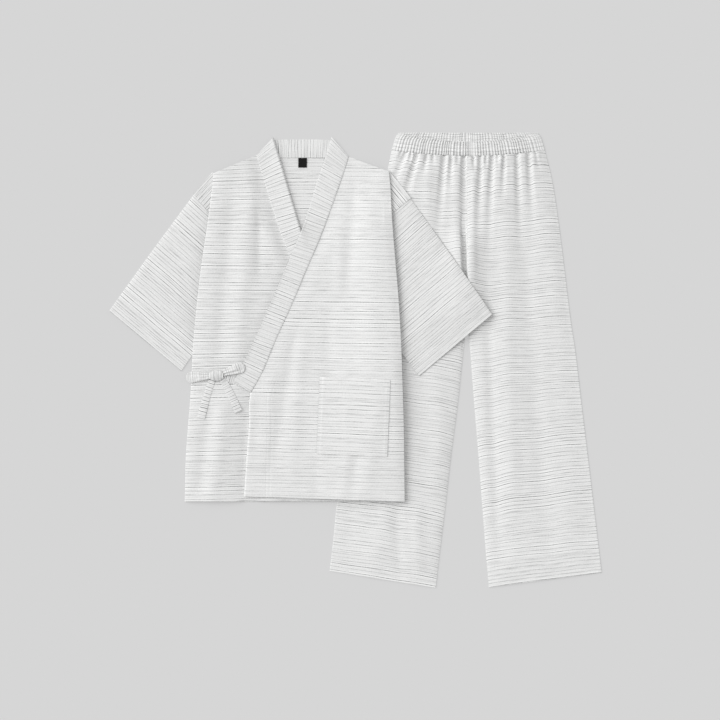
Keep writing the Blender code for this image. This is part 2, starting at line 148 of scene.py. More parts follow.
def with_marks(count, *marks):
    """Even steps, and a few closer ones on both sides of each mark, to carry a hem or a seam."""
    extra = [mark + step for mark in marks for step in (-MARK_STEP, 0.0, MARK_STEP)]
    return np.unique(np.clip(np.concatenate([even(count), extra]), 0, 1).round(6))


def smooth(values, at):
    """A curve through evenly spaced values (Catmull-Rom), read at positions from 0 to 1."""
    padded = np.concatenate([2 * values[:1] - values[1:2], values, 2 * values[-1:] - values[-2:-1]])
    place = np.clip(at, 0, 1) * (len(values) - 1)
    index = np.minimum(place.astype(int), len(values) - 2)
    t = place - index
    before, start, end, after = (padded[index + step] for step in range(4))
    bend = before - 2.5 * start + 2 * end - 0.5 * after
    twist = 1.5 * (start - end) + 0.5 * (after - before)
    return start + t * ((end - before) / 2 + t * (bend + t * twist))


print("a curve through 0, 1, 0 is", smooth(np.array([0.0, 1, 0]), np.array([0.25])), "at a quarter")

# %% Points over a piece
def edge(outline, side, rows):
    return np.stack([smooth(outline[side + "_x"], rows), smooth(outline[side + "_y"], rows)], -1)


def between(outline, rows, across):
    """Points over a piece: at each row, a line from its near edge to its far edge."""
    near = edge(outline, "near", rows)[:, None]
    far = edge(outline, "far", rows)[:, None]
    return near + (far - near) * across[None, :, None]


def spread(outline, rows, count, near_steps, far_steps):
    """As above, with a few columns at set distances from each edge, and even ones between them."""
    near, far = edge(outline, "near", rows), edge(outline, "far", rows)
    width = np.linalg.norm(far - near, axis=-1)[:, None]
    start, end = near_steps, width - far_steps[:, ::-1]
    middle = start[:, -1:] + (end[:, :1] - start[:, -1:]) * even(count)[None, 1:-1]
    distance = np.concatenate([start, middle, end], 1)
    way = (far - near) / width
    return near[:, None] + way[:, None] * distance[..., None], distance, width - distance


def heading(degrees):
    """A step of 1 in a direction, counted from +X towards +Y."""
    turn = math.radians(degrees)
    return np.array([math.cos(turn), math.sin(turn)])


def patch(corner, width, height, turn, rows, across):
    """Points over a rectangle, turned about its upper left corner."""
    down = rows[:, None, None] * height * heading(turn - 90)
    return np.array(corner) + down + across[None, :, None] * width * heading(turn)


print("a step of 1 towards 90 degrees is", heading(90).round(3))

# %% Distances, and slow noise
RANDOM_SQUARES, RANDOM_START = 96, 40


def smoothstep(value):
    value = np.clip(value, 0, 1)
    return value * value * (3 - 2 * value)


def run_along(line):
    """How far along a line of points each of them lies."""
    return np.concatenate([[0], np.cumsum(np.linalg.norm(np.diff(line, axis=0), axis=1))])


def from_line(plan, line):
    """Distance of each point from a line of joined points."""
    start, way = line[:-1], np.diff(line, axis=0)
    offset = plan[..., None, :] - start
    share = np.clip((offset * way).sum(axis=-1) / (way**2).sum(axis=-1), 0, 1)
    return np.linalg.norm(offset - share[..., None] * way, axis=-1).min(axis=-1)


def ripple(plan, size, seed):
    """Smooth random heights from -1 to 1, with bumps about as wide as size, or (wide, high)."""
    values = np.random.default_rng(seed).uniform(-1, 1, (RANDOM_SQUARES + 1, RANDOM_SQUARES + 1))
    place = plan / np.array(size) + RANDOM_START
    index = np.floor(place).astype(int)
    share = smoothstep(place - index)
    x, y = index[..., 0] % RANDOM_SQUARES, index[..., 1] % RANDOM_SQUARES
    low = values[x, y] + (values[x + 1, y] - values[x, y]) * share[..., 0]
    high = values[x, y + 1] + (values[x + 1, y + 1] - values[x, y + 1]) * share[..., 0]
    return low + (high - low) * share[..., 1]


print("a line of three points runs to", run_along(np.array([[0.0, 0], [3, 4], [3, 9]])))

# %% [markdown]
# ## Laying cloth on cloth
#
# A cloth simulation could drop every sheet on the last one. Here each sheet has to end exactly
# where it belongs, to a millimetre, so a map of heights does the work instead. It holds how high
# the pile reaches in each small square of the page. A new sheet starts at the height of the pile
# under its points. It is then softened many times over, as cloth bridges a step, but never below
# that start. At the end it is lifted wherever a face would still cut into what lies below.

# %% Faces of a sheet, and samples on them
CELL = 2.0
SAMPLE_STEP = 0.8 * CELL


def grid_triangles(rows, columns, both=True):
    """The corners of each face of a grid, cut in two, in one way or in both."""
    number = np.arange(rows * columns).reshape(rows, columns)
    a, b = number[:-1, :-1].ravel(), number[:-1, 1:].ravel()
    c, d = number[1:, 1:].ravel(), number[1:, :-1].ravel()
    cuts = [(a, b, c), (a, c, d), (a, b, d), (b, c, d)][: 4 if both else 2]
    return np.concatenate([np.stack(cut, -1) for cut in cuts])


def lattice(corners):
    """Weights that spread samples over a triangle, no further apart than a sample step."""
    sides = np.linalg.norm((corners - np.roll(corners, 1, axis=1))[..., :2], axis=-1)
    steps = max(2, math.ceil(np.quantile(sides, 0.99) / SAMPLE_STEP))
    first, second = np.meshgrid(np.arange(steps + 1), np.arange(steps + 1))
    inside = first + second <= steps
    first, second = first[inside], second[inside]
    return np.stack([first, second, steps - first - second], -1) / steps


print("a grid of 3 x 3 points has", len(grid_triangles(3, 3, both=False)), "triangles")

# %% The pile
PAGE_HALF = 640.0
SOFT_PASSES, STIFF_PASSES = 140, 1500
FIRST_LIFTS = (0.3, 0.3, 0.3, 0.3)  # each mends this share of what a face still lacks
LAST_LIFTS = (0.3, 0.3, 0.3, 1.0)


def soften(height):
    """Each height halfway to the mean of the four beside it."""
    around = np.pad(height, 1, mode="edge")
    sides = around[:-2, 1:-1] + around[2:, 1:-1] + around[1:-1, :-2] + around[1:-1, 2:]
    return (sides + 4 * height) / 8


class Pile:
    """How high the sheets laid down so far reach, square by square."""

    def __init__(self, top=None):
        squares = int(2 * PAGE_HALF / CELL)
        self.top = np.zeros((squares, squares)) if top is None else top.copy()

    def square(self, places):
        index = ((places[..., :2] + PAGE_HALF) / CELL).astype(int)
        return index[..., 0], index[..., 1]

    def add(self, points):
        """Adds a grid of points, the upper side of a sheet."""
        corners = points.reshape(-1, 3)[grid_triangles(*points.shape[:2], both=False)]
        samples = np.einsum("wk,tkd->twd", lattice(corners), corners)
        np.maximum.at(self.top, self.square(samples), samples[..., 2])

    def widened(self):
        """The highest of each square and those around it."""
        wide = self.top.copy()
        for shift_x in (-1, 0, 1):
            for shift_y in (-1, 0, 1):
                np.maximum(wide, np.roll(self.top, (shift_x, shift_y), (0, 1)), out=wide)
        return wide

    def rest(self, plan, passes=SOFT_PASSES):
        """Heights that lay a grid of points on the pile, soft, and clear of it over each face."""
        triangles = grid_triangles(*plan.shape[:2])
        corners = plan.reshape(-1, 2)[triangles]
        weights = lattice(corners)
        wide = self.widened()
        found = wide[self.square(np.einsum("wk,tkd->twd", weights, corners))]
        needed = np.where(found > 0, found + GAP, 0)
        beneath = wide[self.square(plan)]
        start = np.where(beneath > 0, beneath + GAP, 0)
        share = weights / (weights**2).sum(axis=1, keepdims=True)

        def lift(height, strengths):
            height = height.ravel()
            for strength in strengths:
                lack = np.maximum(needed - height[triangles] @ weights.T, 0)
                rise = np.zeros_like(height)
                for corner in range(3):
                    most = (lack * share[:, corner]).max(axis=1) * strength
                    np.maximum.at(rise, triangles[:, corner], most)
                height = height + rise
            return height.reshape(plan.shape[:2])

        height = start
        for _ in range(passes):
            height = np.maximum(soften(height), start)
        return lift(soften(soften(lift(height, FIRST_LIFTS))), LAST_LIFTS)


pile = Pile()
print("the pile has", pile.top.size, "squares of", CELL, "mm")

# %% [markdown]
# ## From points to cloth
#
# Every sheet becomes a mesh in the same way. Blender's grid primitive is added with as many
# points as the sheet has, its points are put in their places, and Solidify gives it a wall. The
# UV map holds real lengths along and across the woven lines, so the lines keep their spacing on
# every piece.

# %% Make one sheet of cloth
SAME_PLACE = 1e-6
SHARP_EDGE = math.radians(50)
sheets, cloths = {}, {}


def edit_all(operation, **settings):
    """Does one thing to the whole of the active mesh in edit mode."""
    bpy.ops.object.mode_set(mode="EDIT")
    bpy.ops.mesh.select_all(action="SELECT")
    operation(**settings)
    bpy.ops.object.mode_set(mode="OBJECT")


def make_cloth(name, points, uv, wall=WALL, inwards=False, ring=False):
    """Makes a wall of cloth from a grid: its underside, or the outer face of a folded piece."""
    rows, columns = points.shape[:2]
    bpy.ops.object.select_all(action="DESELECT")
    bpy.ops.mesh.primitive_grid_add(x_subdivisions=columns - 1, y_subdivisions=rows - 1, size=1)
    obj = bpy.context.object
    mesh = obj.data
    obj.name = mesh.name = name + "_cloth"
    mesh.vertices.foreach_set("co", ((points + PAGE_SHIFT) * MM).ravel())
    corner = np.empty(len(mesh.loops), np.int32)
    mesh.loops.foreach_get("vertex_index", corner)
    mesh.uv_layers[0].data.foreach_set("uv", (uv.reshape(-1, 2)[corner] * MM).ravel())
    mesh.update()
    if ring:
        edit_all(bpy.ops.mesh.remove_doubles, threshold=SAME_PLACE)
    if mesh.polygons[0].normal.z < 0:
        edit_all(bpy.ops.mesh.flip_normals)
    solidify = obj.modifiers.new("Solidify", "SOLIDIFY")
    solidify.thickness, solidify.offset = wall * MM, -1 if inwards else 1
    bpy.ops.object.modifier_apply(modifier=solidify.name)
    bpy.ops.object.shade_smooth_by_angle(angle=SHARP_EDGE)
    sheets[name] = points + np.array([0, 0, 0 if inwards else wall])
    cloths[name] = obj
    print(f"{name}: {rows} x {columns} points, top at {sheets[name][..., 2].max():.1f} mm")

# %% [markdown]
# A woven line is never quite straight, so a little slow noise goes into each map. A tightness
# over 1 draws the lines of a puckered piece together, and one just under 1 eases them apart.

# %% Woven lines
FLAT_WANDER, FLAT_WANDER_SIZE = 0.7, (90, 60)
STRIP_WANDER, STRIP_WANDER_SIZE = 0.3, 40


def on_bolt(name, along, across):
    """The UV map of a piece, cut from its own place on the bolt of cloth."""
    start = PIECES[name][0]
    return np.stack([along + start / 2, across + start], -1)


def woven_lines(name, plan, seed, tilt=0.0, tightness=1.0):
    """The map of a flat piece, its lines tilted by some degrees, or by a table of them."""
    x, y = plan[..., 0] - plan[..., 0].mean(), plan[..., 1]
    turn = np.radians(np.interp(y, tilt["y"], tilt["degrees"]) if isinstance(tilt, dict) else tilt)
    along = x * np.cos(turn) + y * np.sin(turn)
    wander = FLAT_WANDER * ripple(plan, FLAT_WANDER_SIZE, seed)
    across = y * np.cos(turn) - x * np.sin(turn) + wander
    return on_bolt(name, along, across * tightness)


def along_rows(name, plan, seed, tightness=1.0, lean=0.0):
    """The map of a strip whose woven lines run across it."""
    run = run_along(plan[:, plan.shape[1] // 2])[:, None]
    width = np.linalg.norm(plan - plan[:, :1], axis=-1)
    place = run + lean * (width - width[:, -1:] / 2)
    wander = STRIP_WANDER * ripple(plan, STRIP_WANDER_SIZE, seed)
    return on_bolt(name, width, place * tightness + wander)

# %% Lay a flat sheet
def lay(name, plan, uv, relief=0.0, wall=WALL, height=None):
    """Lays one flat sheet on the pile, raised further by its own folds."""
    height = (pile.rest(plan) if height is None else height) + relief
    make_cloth(name, np.concatenate([plan, height[..., None]], -1), uv, wall)
    pile.add(sheets[name])

# %% [markdown]
# A leg, a sleeve or a loop of the bow is one sheet, folded in two. The wall beneath is laid
# first, and the top wall on that, with the air between them. Half a turn joins the two at the
# fold. It is all one grid of points, so the woven lines run on around the fold.

# %% Lay a folded sheet
FOLDED_WANDER, FOLDED_WANDER_SIZE = 0.5, (80, 60)


def fold_over(
    name, outline, rows, columns, hollow, seed, ground=None,
    sag=None, wave=0.0, lean=None, fan=0.0, tightness=1.0, turned=False,
):
    """Lays a sheet folded in two along its far edge: top wall, fold, then the wall beneath it.

    Its lines ride up by a wave over its folds, lean by a table of degrees, and fan out towards its
    first row. If turned, they run down the piece."""
    ground = ground or pile
    over, turn, under = columns
    radius = WALL + GAP
    near, far = edge(outline, "near", rows)[:, None], edge(outline, "far", rows)[:, None]
    length = np.linalg.norm(far - near, axis=-1, keepdims=True)
    way = (far - near) / length
    flat = length - radius
    top_plan = near + way * flat * over[None, :, None]
    low_plan = near + way * flat * under[None, ::-1, None]
    if sag:
        top_plan[..., 1] -= sag(top_plan, rows)
        low_plan[..., 1] -= sag(low_plan, rows)
    low = ground.rest(low_plan)
    inside = Pile(ground.top)
    inside.add(np.concatenate([low_plan, (low + WALL)[..., None]], -1))
    raised = hollow(top_plan)
    top = inside.rest(top_plan) + WALL + raised
    top[:, -1] = np.maximum(top[:, -1], low[:, 0] + 2 * radius)
    angle = np.pi * even(turn)[1:-1]
    turn_plan = near + way * (flat + radius * np.sin(angle)[None, :, None])
    middle, half = (top[:, -1:] + low[:, :1]) / 2, (top[:, -1:] - low[:, :1]) / 2
    plan = np.concatenate([top_plan, turn_plan, low_plan], 1)
    height = np.concatenate([top, middle + half * np.cos(angle)[None], low], 1)
    length = length[:, 0]
    beneath = length * (2 - under[None, ::-1])
    along = np.concatenate([length * over[None], length + radius * angle, beneath], 1)
    run = run_along((near + far)[:, 0] / 2)[:, None]
    across = run + FOLDED_WANDER * ripple(plan, FOLDED_WANDER_SIZE, seed)
    across[:, : len(over)] += wave * raised
    centre = len(over) // 2
    if lean:
        slope = np.tan(np.radians(np.interp(plan[..., 1], lean["y"], lean["degrees"])))
        across -= (plan[..., 0] - plan[:, centre, :1]) * slope
    across += fan * (1 - rows[:, None]) * (along - along[:, centre, None])
    both = (across, along * tightness) if turned else (along, across * tightness)
    points = np.concatenate([plan, height[..., None]], -1)
    make_cloth(name, points, on_bolt(name, *both), inwards=True)
    sheets[name + "_top"] = sheets[name][:, : len(over)]
    pile.add(sheets[name][:, : len(over) + turn])

# %% [markdown]
# ## Soft folds
#
# Cotton that has been folded and laid out again keeps shallow ridges and furrows, most of them
# down the length of the piece. They are placed one by one, with a top, a middle and an end, a
# height, and half a width. Furrows have a negative height. The ends fade out, because a fold that
# stops short looks pressed in with a ruler.

# %% Ridges, furrows and hems
FOLD_COLUMNS = "x_top x_middle x_end y_top y_end height width"
FOLD_FADE = 0.25
HEM_WIDTH = 22.0
HEM_RISE = 0.45
HEM_SLOPE = 1.5


def folds(creases, plan):
    """The height of a table of creases at each point."""
    total = np.zeros(plan.shape[:-1])
    for x_top, x_middle, x_end, y_top, y_end, height, width in zip(*creases.values()):
        share = (y_top - plan[..., 1]) / (y_top - y_end)
        middle = smooth(np.array([x_top, x_middle, x_end]), share)
        fade = smoothstep(share / FOLD_FADE) * smoothstep((1 - share) / FOLD_FADE)
        total += height * fade * np.exp(-(((plan[..., 0] - middle) / width) ** 2))
    return total


def hem(distance, width=HEM_WIDTH):
    """The small step where the cloth is turned up on itself."""
    return HEM_RISE * smoothstep((width - distance) / HEM_SLOPE + 0.5)


def hill(distance, reach):
    """A bell-shaped hill, 1 at no distance and low beyond its reach."""
    return np.exp(-((distance / reach) ** 2))


print("a hill at 0, 1 and 2 times its reach is", hill(np.arange(3.0), 1).round(2))

# %% [markdown]
# ## Trousers: the legs
#
# Each leg is one cut of cloth, folded along its outer side and sewn along the inner one. Elastic
# draws it in at the waist, so the front falls in deep, uneven furrows that fade on the way down.
# Each furrow is a row of a table: where it starts and ends, how deep it cuts, and how wide it is.
# Further down there are long creases, and above the crotch a hump with the deep centre seam in
# it.

# %% Tables of the legs
WAIST_CENTRE = 237.0
WAIST_HALF = 151.0
WAIST_SPREAD = 10.0
WAIST_SEAM = 428.0
WAIST_SAG = 12.0
LEG_RIGHT = table(
    EDGES, (234.45, 428, 76, 440), (234.45, 366, 63, 374), (234.45, 252, 45, 257),
    (234.4, 91, 20, 91), (226, 17, 8, 17), (215, -88, -7, -88), (201, -197, -23, -193),
    (189, -304, -38, -294), (178, -394, -46, -373), (168, -478, -54, -443),
)
LEG_LEFT = table(
    EDGES, (234.55, 428, 398, 440), (234.55, 366, 415, 366), (234.55, 252, 431, 255),
    (235, 91, 451, 91), (241, 17, 462, 17), (249, -88, 474, -85), (258, -197, 487, -193),
    (266, -304, 499, -294), (273, -394, 509, -378), (280, -477, 517, -446),
)
FURROWS = table(
    "x_top x_end y_end depth width", (96, 84, 390, 1.2, 3), (106, 66, 330, 2.4, 4.5),
    (117, 112, 395, 1.0, 3), (130, 98, 310, 2.4, 4.5), (150, 142, 380, 1.3, 3.5),
    (163, 163, 405, 0.8, 2.5), (186, 170, 210, 2.0, 5), (201, 199, 350, 1.3, 3.5),
    (227, 228, 180, 2.6, 4.5), (248, 249, 390, 0.8, 2.5), (263, 258, 260, 1.9, 4),
    (274, 273, 400, 0.9, 2.5), (287, 278, 200, 2.2, 4.5), (298, 298, 400, 0.6, 2.5),
    (312, 308, 320, 1.5, 3.5), (339, 347, 210, 2.1, 4.5), (363, 374, 250, 2.1, 4.5),
    (378, 386, 380, 0.9, 3),
)
CREASES_LEGS = table(
    FOLD_COLUMNS, (272, 287, 303, 252, -483, -2.2, 12), (310, 322, 333, 441, -420, 2.4, 18),
    (348, 375, 415, 441, -504, -2.4, 20), (404, 444, 471, 441, -504, 2.6, 24),
    (211, 211, 213, 441, 168, 2.4, 12), (231, 231, 231, 290, 50, 10.5, 36),
    (225, 229.5, 230.5, 312, -40, -160, 2.8), (240, 240, 241, 330, -20, 1.5, 6),
    (247, 247, 249, 441, 126, 2.4, 7), (152, 152, 156, 420, 252, 1.6, 12),
    (-5, -20, -33, -273, -504, -1.8, 14), (68, 47, 33, -273, -504, 1.8, 20),
    (87, 89, 98, -273, -504, -1.6, 12), (131, 129, 138, -273, -504, 1.4, 14),
    (152, 177, 167, 42, -315, 1.8, 22),
)
LEAN_RIGHT = table(
    "y degrees", (-478, 0), (-426, 1.2), (-336, 6.3), (-245, 5.7), (-154, 8.2), (-64, 8), (40, 8),
    (91, 4), (300, 2), (400, 1.8),
)
LEAN_LEFT = table(
    "y degrees", (-478, 0), (-426, -0.6), (-336, -5.1), (-245, -6.2), (-154, -6.3), (-64, -4.8),
    (27, -4.8), (119, -4.4), (210, -4.1), (300, -4.6), (400, -3.6),
)
print(len(FURROWS["depth"]), "furrows below the waist,", len(CREASES_LEGS["height"]), "creases")

# %% The legs
PUFF, GATHER_PUFF, PUFF_FADE = 2.4, 6.6, 82.0
PUCKERS, PUCKER_SIZE, PUCKER_FADE = 2.0, (6.5, 30), 18.0
UNEVEN, UNEVEN_SIZE = 0.35, (22, 60)
FURROW_SPREAD = 1.6
FURROW_LEFT, FURROW_RIGHT = 0.82, 0.72
DEEPEST = 0.92
CROTCH, CROTCH_FADE = 60.0, 60.0
SEAM_TIGHTNESS = 16.0
LEG_HEM = 28.0
LEG_PRESSED, PRESSED_AIR = 50.0, 0.25
LEG_AIR = 2.2
LEG_CROWN, LEG_CROWN_ABOVE, LEG_CROWN_OVER = 4, 6, 250
LEG_LENGTH = 906.0


def waist_share(x):
    return np.clip(np.abs(x - WAIST_CENTRE) / (WAIST_HALF + WAIST_SPREAD), 0, 1)


def waist_seam(x):
    """The seam of the waistband, which curves up to both sides."""
    return WAIST_SEAM + WAIST_SAG * waist_share(x) ** 2


def waist_sag(plan, rows):
    """How much lower the first rows hang than a straight line between their ends."""
    share = waist_share(plan[..., 0])
    return WAIST_SAG * (share - share**2) * (1 - rows[:, None]) ** 4


def gathers(plan):
    """How far the front of a leg stands off: a puff under the waistband, cut by the furrows."""
    x, y = plan[..., 0], plan[..., 1]
    drop = np.clip(waist_seam(x) - y, 0, None)
    furrow = np.zeros_like(x)
    for x_top, x_end, y_end, depth, width in zip(*FURROWS.values()):
        share = np.clip(drop / (WAIST_SEAM - y_end), 0, 1)
        middle = x_top + (x_end - x_top) * share
        reach = width * (1 + FURROW_SPREAD * share)
        reach = reach * np.where(x < middle, FURROW_LEFT, FURROW_RIGHT)
        furrow += depth * (1 - share) * hill(x - middle, reach)
    puff = PUFF + (GATHER_PUFF - PUFF) * hill(drop, PUFF_FADE)
    puckers = PUCKERS * ripple(plan, PUCKER_SIZE, 9) * hill(drop, PUCKER_FADE)
    uneven = UNEVEN * ripple(plan, UNEVEN_SIZE, 3)
    return puff * (1 - DEEPEST * np.tanh(furrow)) + uneven + puckers + folds(CREASES_LEGS, plan)


def leg_hollow(plan):
    """Air inside a leg: none along the inseam below the crotch, nor at the outer fold."""
    across = np.linspace(0, 1, plan.shape[1])[None]
    seamed = smoothstep((CROTCH + CROTCH_FADE - plan[..., 1]) / (2 * CROTCH_FADE))
    inner = 1 - seamed * np.exp(-SEAM_TIGHTNESS * across)
    hem_line = waist_seam(plan[..., 0]) - plan[..., 1]
    above_hem = np.abs(hem_line - hem_line[-1:])
    power = LEG_CROWN + LEG_CROWN_ABOVE * smoothstep(plan[..., 1] / LEG_CROWN_OVER)
    crown = 1 - across**power
    pressed = PRESSED_AIR + (1 - PRESSED_AIR) * smoothstep(above_hem / LEG_PRESSED)
    air = np.clip(gathers(plan), 0, None) + LEG_AIR * np.sin(np.pi * across) ** 0.6
    return air * crown * inner * pressed + hem(above_hem, LEG_HEM)


hem_rows = 1 - (LEG_HEM + np.array([-1.5, 0, 1.5])) / LEG_LENGTH
leg_rows = np.unique(np.concatenate([even(150) ** 1.25, hem_rows]))
for seed, name, outline, lean, tightness in (
    (1, "leg_right", LEG_RIGHT, LEAN_RIGHT, 1.05),
    (2, "leg_left", LEG_LEFT, LEAN_LEFT, 1.04),
):
    columns = (even(84) ** 1.15, 6, even(24))
    fold_over(
        name, outline, leg_rows, columns, leg_hollow, seed, Pile(),
        sag=waist_sag, wave=0.9, lean=lean, tightness=tightness,
    )

# %% [markdown]
# ## Trousers: the waistband
#
# The waistband is a tube of cloth with elastic inside. Relaxed, it puckers into narrow ribs all
# round. It is a ring pressed flat: the front with its ribs, a tight turn, the back, and a turn
# again. The front's top edge hangs lower than the back's, so the inside of the back shows above
# it. Sewing holds the ribs down along the middle, and where the band's two ends are joined it is
# nearly plain.

# %% The waistband
WAIST_FRONT_TOP = 458.0
WAIST_RIBS = 55
BAND_SEAM_GAP = 0.15
BAND_LENGTH = 35.05
BAND_CORNER = 5.0
FRONT_RIB, BACK_RIB = 4.3, 2.2
RIBS_HELD, CHANNEL_HALF = 0.35, 0.06
BACK_ABOVE = 2.0
BELLY, BELLY_MIDDLE = 1.5, 1.3
PLAIN_AT, PLAIN_HALF, PLAINER = 6.0, 8.0, 0.9


def rib_wave(across, seed):
    """Narrow puckers from 0 to 1, no two quite alike."""
    noise = np.random.default_rng(seed)
    phase = WAIST_RIBS * across + 0.4 * np.interp(across, even(24), noise.uniform(-1, 1, 25))
    size = np.interp(across, even(60), noise.uniform(0.5, 1.0, 61))
    return size * (0.5 + 0.5 * np.cos(2 * np.pi * phase)) ** 0.5


def to_sides(across):
    """1 over most of the width, and down to 0 at both sides."""
    return 1 - np.abs(2 * across - 1)[None] ** 8


def waistband():
    """The points of the ring, and its map."""
    up, radius = even(14)[:, None], BAND_WALL + GAP
    half = WAIST_HALF + WAIST_SPREAD * (1 - up) - BAND_CORNER * up**8 - radius

    def wall(across, top):
        x = WAIST_CENTRE + half * (2 * across[None] - 1)
        low = waist_seam(x) + BAND_SEAM_GAP
        return x, low + (top - low) * up

    across = even(8 * WAIST_RIBS)
    bow = (WAIST_BACK_TOP - BACK_ABOVE - WAIST_FRONT_TOP) * (2 * across - 1) ** 2
    front_x, front_y = wall(across, WAIST_FRONT_TOP + bow)
    channel = 1 - RIBS_HELD * hill(up - 0.5, CHANNEL_HALF)
    plain = 1 - PLAINER * np.exp(-(((front_x - WAIST_CENTRE - PLAIN_AT) / PLAIN_HALF) ** 4))
    ribs = rib_wave(across, 5)[None] * FRONT_RIB * channel * plain
    belly = BELLY + BELLY_MIDDLE * np.sin(np.pi * up)
    front_z = 2 * radius + (belly + ribs) * to_sides(across)
    across = np.linspace(1, 0, 4 * WAIST_RIBS + 1)
    back_x, back_y = wall(across, WAIST_BACK_TOP)
    back_z = BACK_RIB * rib_wave(across, 6)[None] * np.ones_like(up) * to_sides(across)
    angle = np.pi * even(6)[1:-1][None]
    out, share = radius * np.sin(angle), (1 - np.cos(angle)) / 2
    right_y = front_y[:, -1:] + (back_y[:, :1] - front_y[:, -1:]) * share
    left_y = back_y[:, -1:] + (front_y[:, :1] - back_y[:, -1:]) * share
    turn_z = radius + radius * np.cos(angle) + 0 * up
    walls = (
        (front_x, front_x[:, -1:] + out, back_x, front_x[:, :1] - out, front_x[:, :1]),
        (front_y, right_y, back_y, left_y, front_y[:, :1]),
        (front_z, turn_z, back_z, turn_z[:, ::-1], front_z[:, :1]),
    )
    x, y, z = (np.concatenate(parts, 1) for parts in walls)
    step = np.hypot(np.diff(x, axis=1), np.diff(z, axis=1)).mean(axis=0)
    around = np.concatenate([[0], np.cumsum(step)])[None] + 0 * x
    uv = on_bolt("waistband", around, BAND_LENGTH * up + 0.6 * np.sin(around / 9))
    return np.stack([x, y, z], -1), uv


make_cloth("waistband", *waistband(), BAND_WALL, inwards=True, ring=True)
pile.add(sheets["waistband"])

# %% [markdown]
# ## Jacket: the back and the neck
#
# The back panel lies lowest, half on the page and half on the trousers. Only a little of it
# shows, inside the neck and as a sliver under the fronts' hem. The band of the collar runs round
# the back of the neck, with the plain black label just below it.

# %% The back, the neck band and the label
BODY = table(
    EDGES, (-298, 392, 70, 395), (-304, 330, 75, 330), (-312, 270, 78, 270), (-322, 202, 84, 202),
    (-333, 110, 91, 110), (-342, 13, 96, 13), (-347, -84, 100, -84), (-354, -190, 102, -190),
    (-358, -298, 103, -298),
)
SHOULDER_LINE = table(
    "x y", (-298, 392), (-208, 430), (-172, 434), (-50, 434), (-15, 427), (70, 395),
)
NECK_BAND = table(
    EDGES, (-186, 450, -192, 424), (-170, 461, -168, 425), (-111, 463, -111, 425),
    (-52, 461, -54, 425), (-36, 450, -30, 424),
)
BACK_SHARE = 0.992
JACKET_LENGTH = 690.0
LABEL_WIDTH, LABEL_HEIGHT, LABEL_CORNER = 18.0, 20.0, (-120.0, 424.0)
hem_mark = 1 - HEM_WIDTH / JACKET_LENGTH


def jacket_hem(plan):
    """The turned-up hem along the last row of a panel."""
    return hem(np.abs(plan[..., 1] - plan[-1:, :, 1]))


back_rows, across = with_marks(110, hem_mark), even(70)
plan = between(BODY, back_rows, across)
line_x = BODY["near_x"][0] + (BODY["far_x"][0] - BODY["near_x"][0]) * across
rise = np.interp(line_x, SHOULDER_LINE["x"], SHOULDER_LINE["y"]) - plan[0, :, 1]
plan[..., 1] += rise[None] * (1 - back_rows[:, None]) ** 3
middle = plan[:, :, 0].mean(axis=1)[:, None]
plan[..., 0] = middle + (plan[..., 0] - middle) * BACK_SHARE
lay("back_panel", plan, woven_lines("back_panel", plan, 4, tightness=0.975), jacket_hem(plan))

across = even(14)
plan = between(NECK_BAND, even(60), across)
crown = 0.5 * np.sin(np.pi * across)[None]
lay("collar_neck", plan, along_rows("collar_neck", plan, 5, 1.159), crown, BAND_WALL)

plan = patch(LABEL_CORNER, LABEL_WIDTH, LABEL_HEIGHT, 0, even(10), even(10))
lay("label", plan, plan, wall=0.5)

# %% [markdown]
# ## Jacket: sleeves
#
# Each sleeve is a flat tube, folded along its top and sewn beneath. It comes out from under the
# front, where the body is creased, and at the shoulder a three-cornered piece of the body shows
# before the armhole seam. The body's woven lines run along the shoulder there, and the sleeve's
# run across the arm.

# %% Sleeves and drop shoulders
SLEEVE_RIGHT = table(EDGES, (-218, 191, -339, 348), (-292, 84, -429, 226), (-366, -23, -517, 103))
SLEEVE_LEFT = table(EDGES, (-50, 209, 113, 342), (41, 88, 200, 220), (133, -33, 286, 96))
SHOULDER_RIGHT = table(
    EDGES, (-297, 391, -301, 394), (-294, 365, -321, 370), (-291, 292, -341, 348),
)
SHOULDER_LEFT = table(EDGES, (69, 394, 72, 396), (67, 366, 94, 368), (62, 295, 116, 339))
SLEEVE_LENGTH = 300.0
SLEEVE_AIR, CUFF_AIR, CUFF_REACH = 4.5, 0.3, 90.0
SLEEVE_UNEVEN, SLEEVE_UNEVEN_SIZE = 0.5, (60, 60)
BESIDE_BODY = 14.0
sleeve_rows = with_marks(60, 1 - HEM_WIDTH / SLEEVE_LENGTH)


def outside_body(plan):
    """Distance of each point beyond the nearer side of the jacket's body."""
    y = plan[..., 1]
    right = np.interp(y, BODY["near_y"][::-1], BODY["near_x"][::-1])
    left = np.interp(y, BODY["far_y"][::-1], BODY["far_x"][::-1])
    return np.clip(np.maximum(right - plan[..., 0], plan[..., 0] - left), 0, None)


def sleeve_hollow(plan):
    """Air inside a sleeve: little at the cuff, and none where the body's front presses on it."""
    across = np.linspace(0, 1, plan.shape[1])[None]
    from_cuff = np.linalg.norm(plan - plan[-1:], axis=-1)
    at_cuff = smoothstep(1 - from_cuff / CUFF_REACH)
    most = SLEEVE_AIR - (SLEEVE_AIR - CUFF_AIR) * at_cuff
    uneven = SLEEVE_UNEVEN * ripple(plan, SLEEVE_UNEVEN_SIZE, 7) * (1 - at_cuff)
    soft = most * np.sin(np.pi * across) ** 0.4 + uneven
    free = 1 - np.exp(-outside_body(plan) / BESIDE_BODY)
    return np.clip(soft, 0, None) * free + hem(from_cuff)


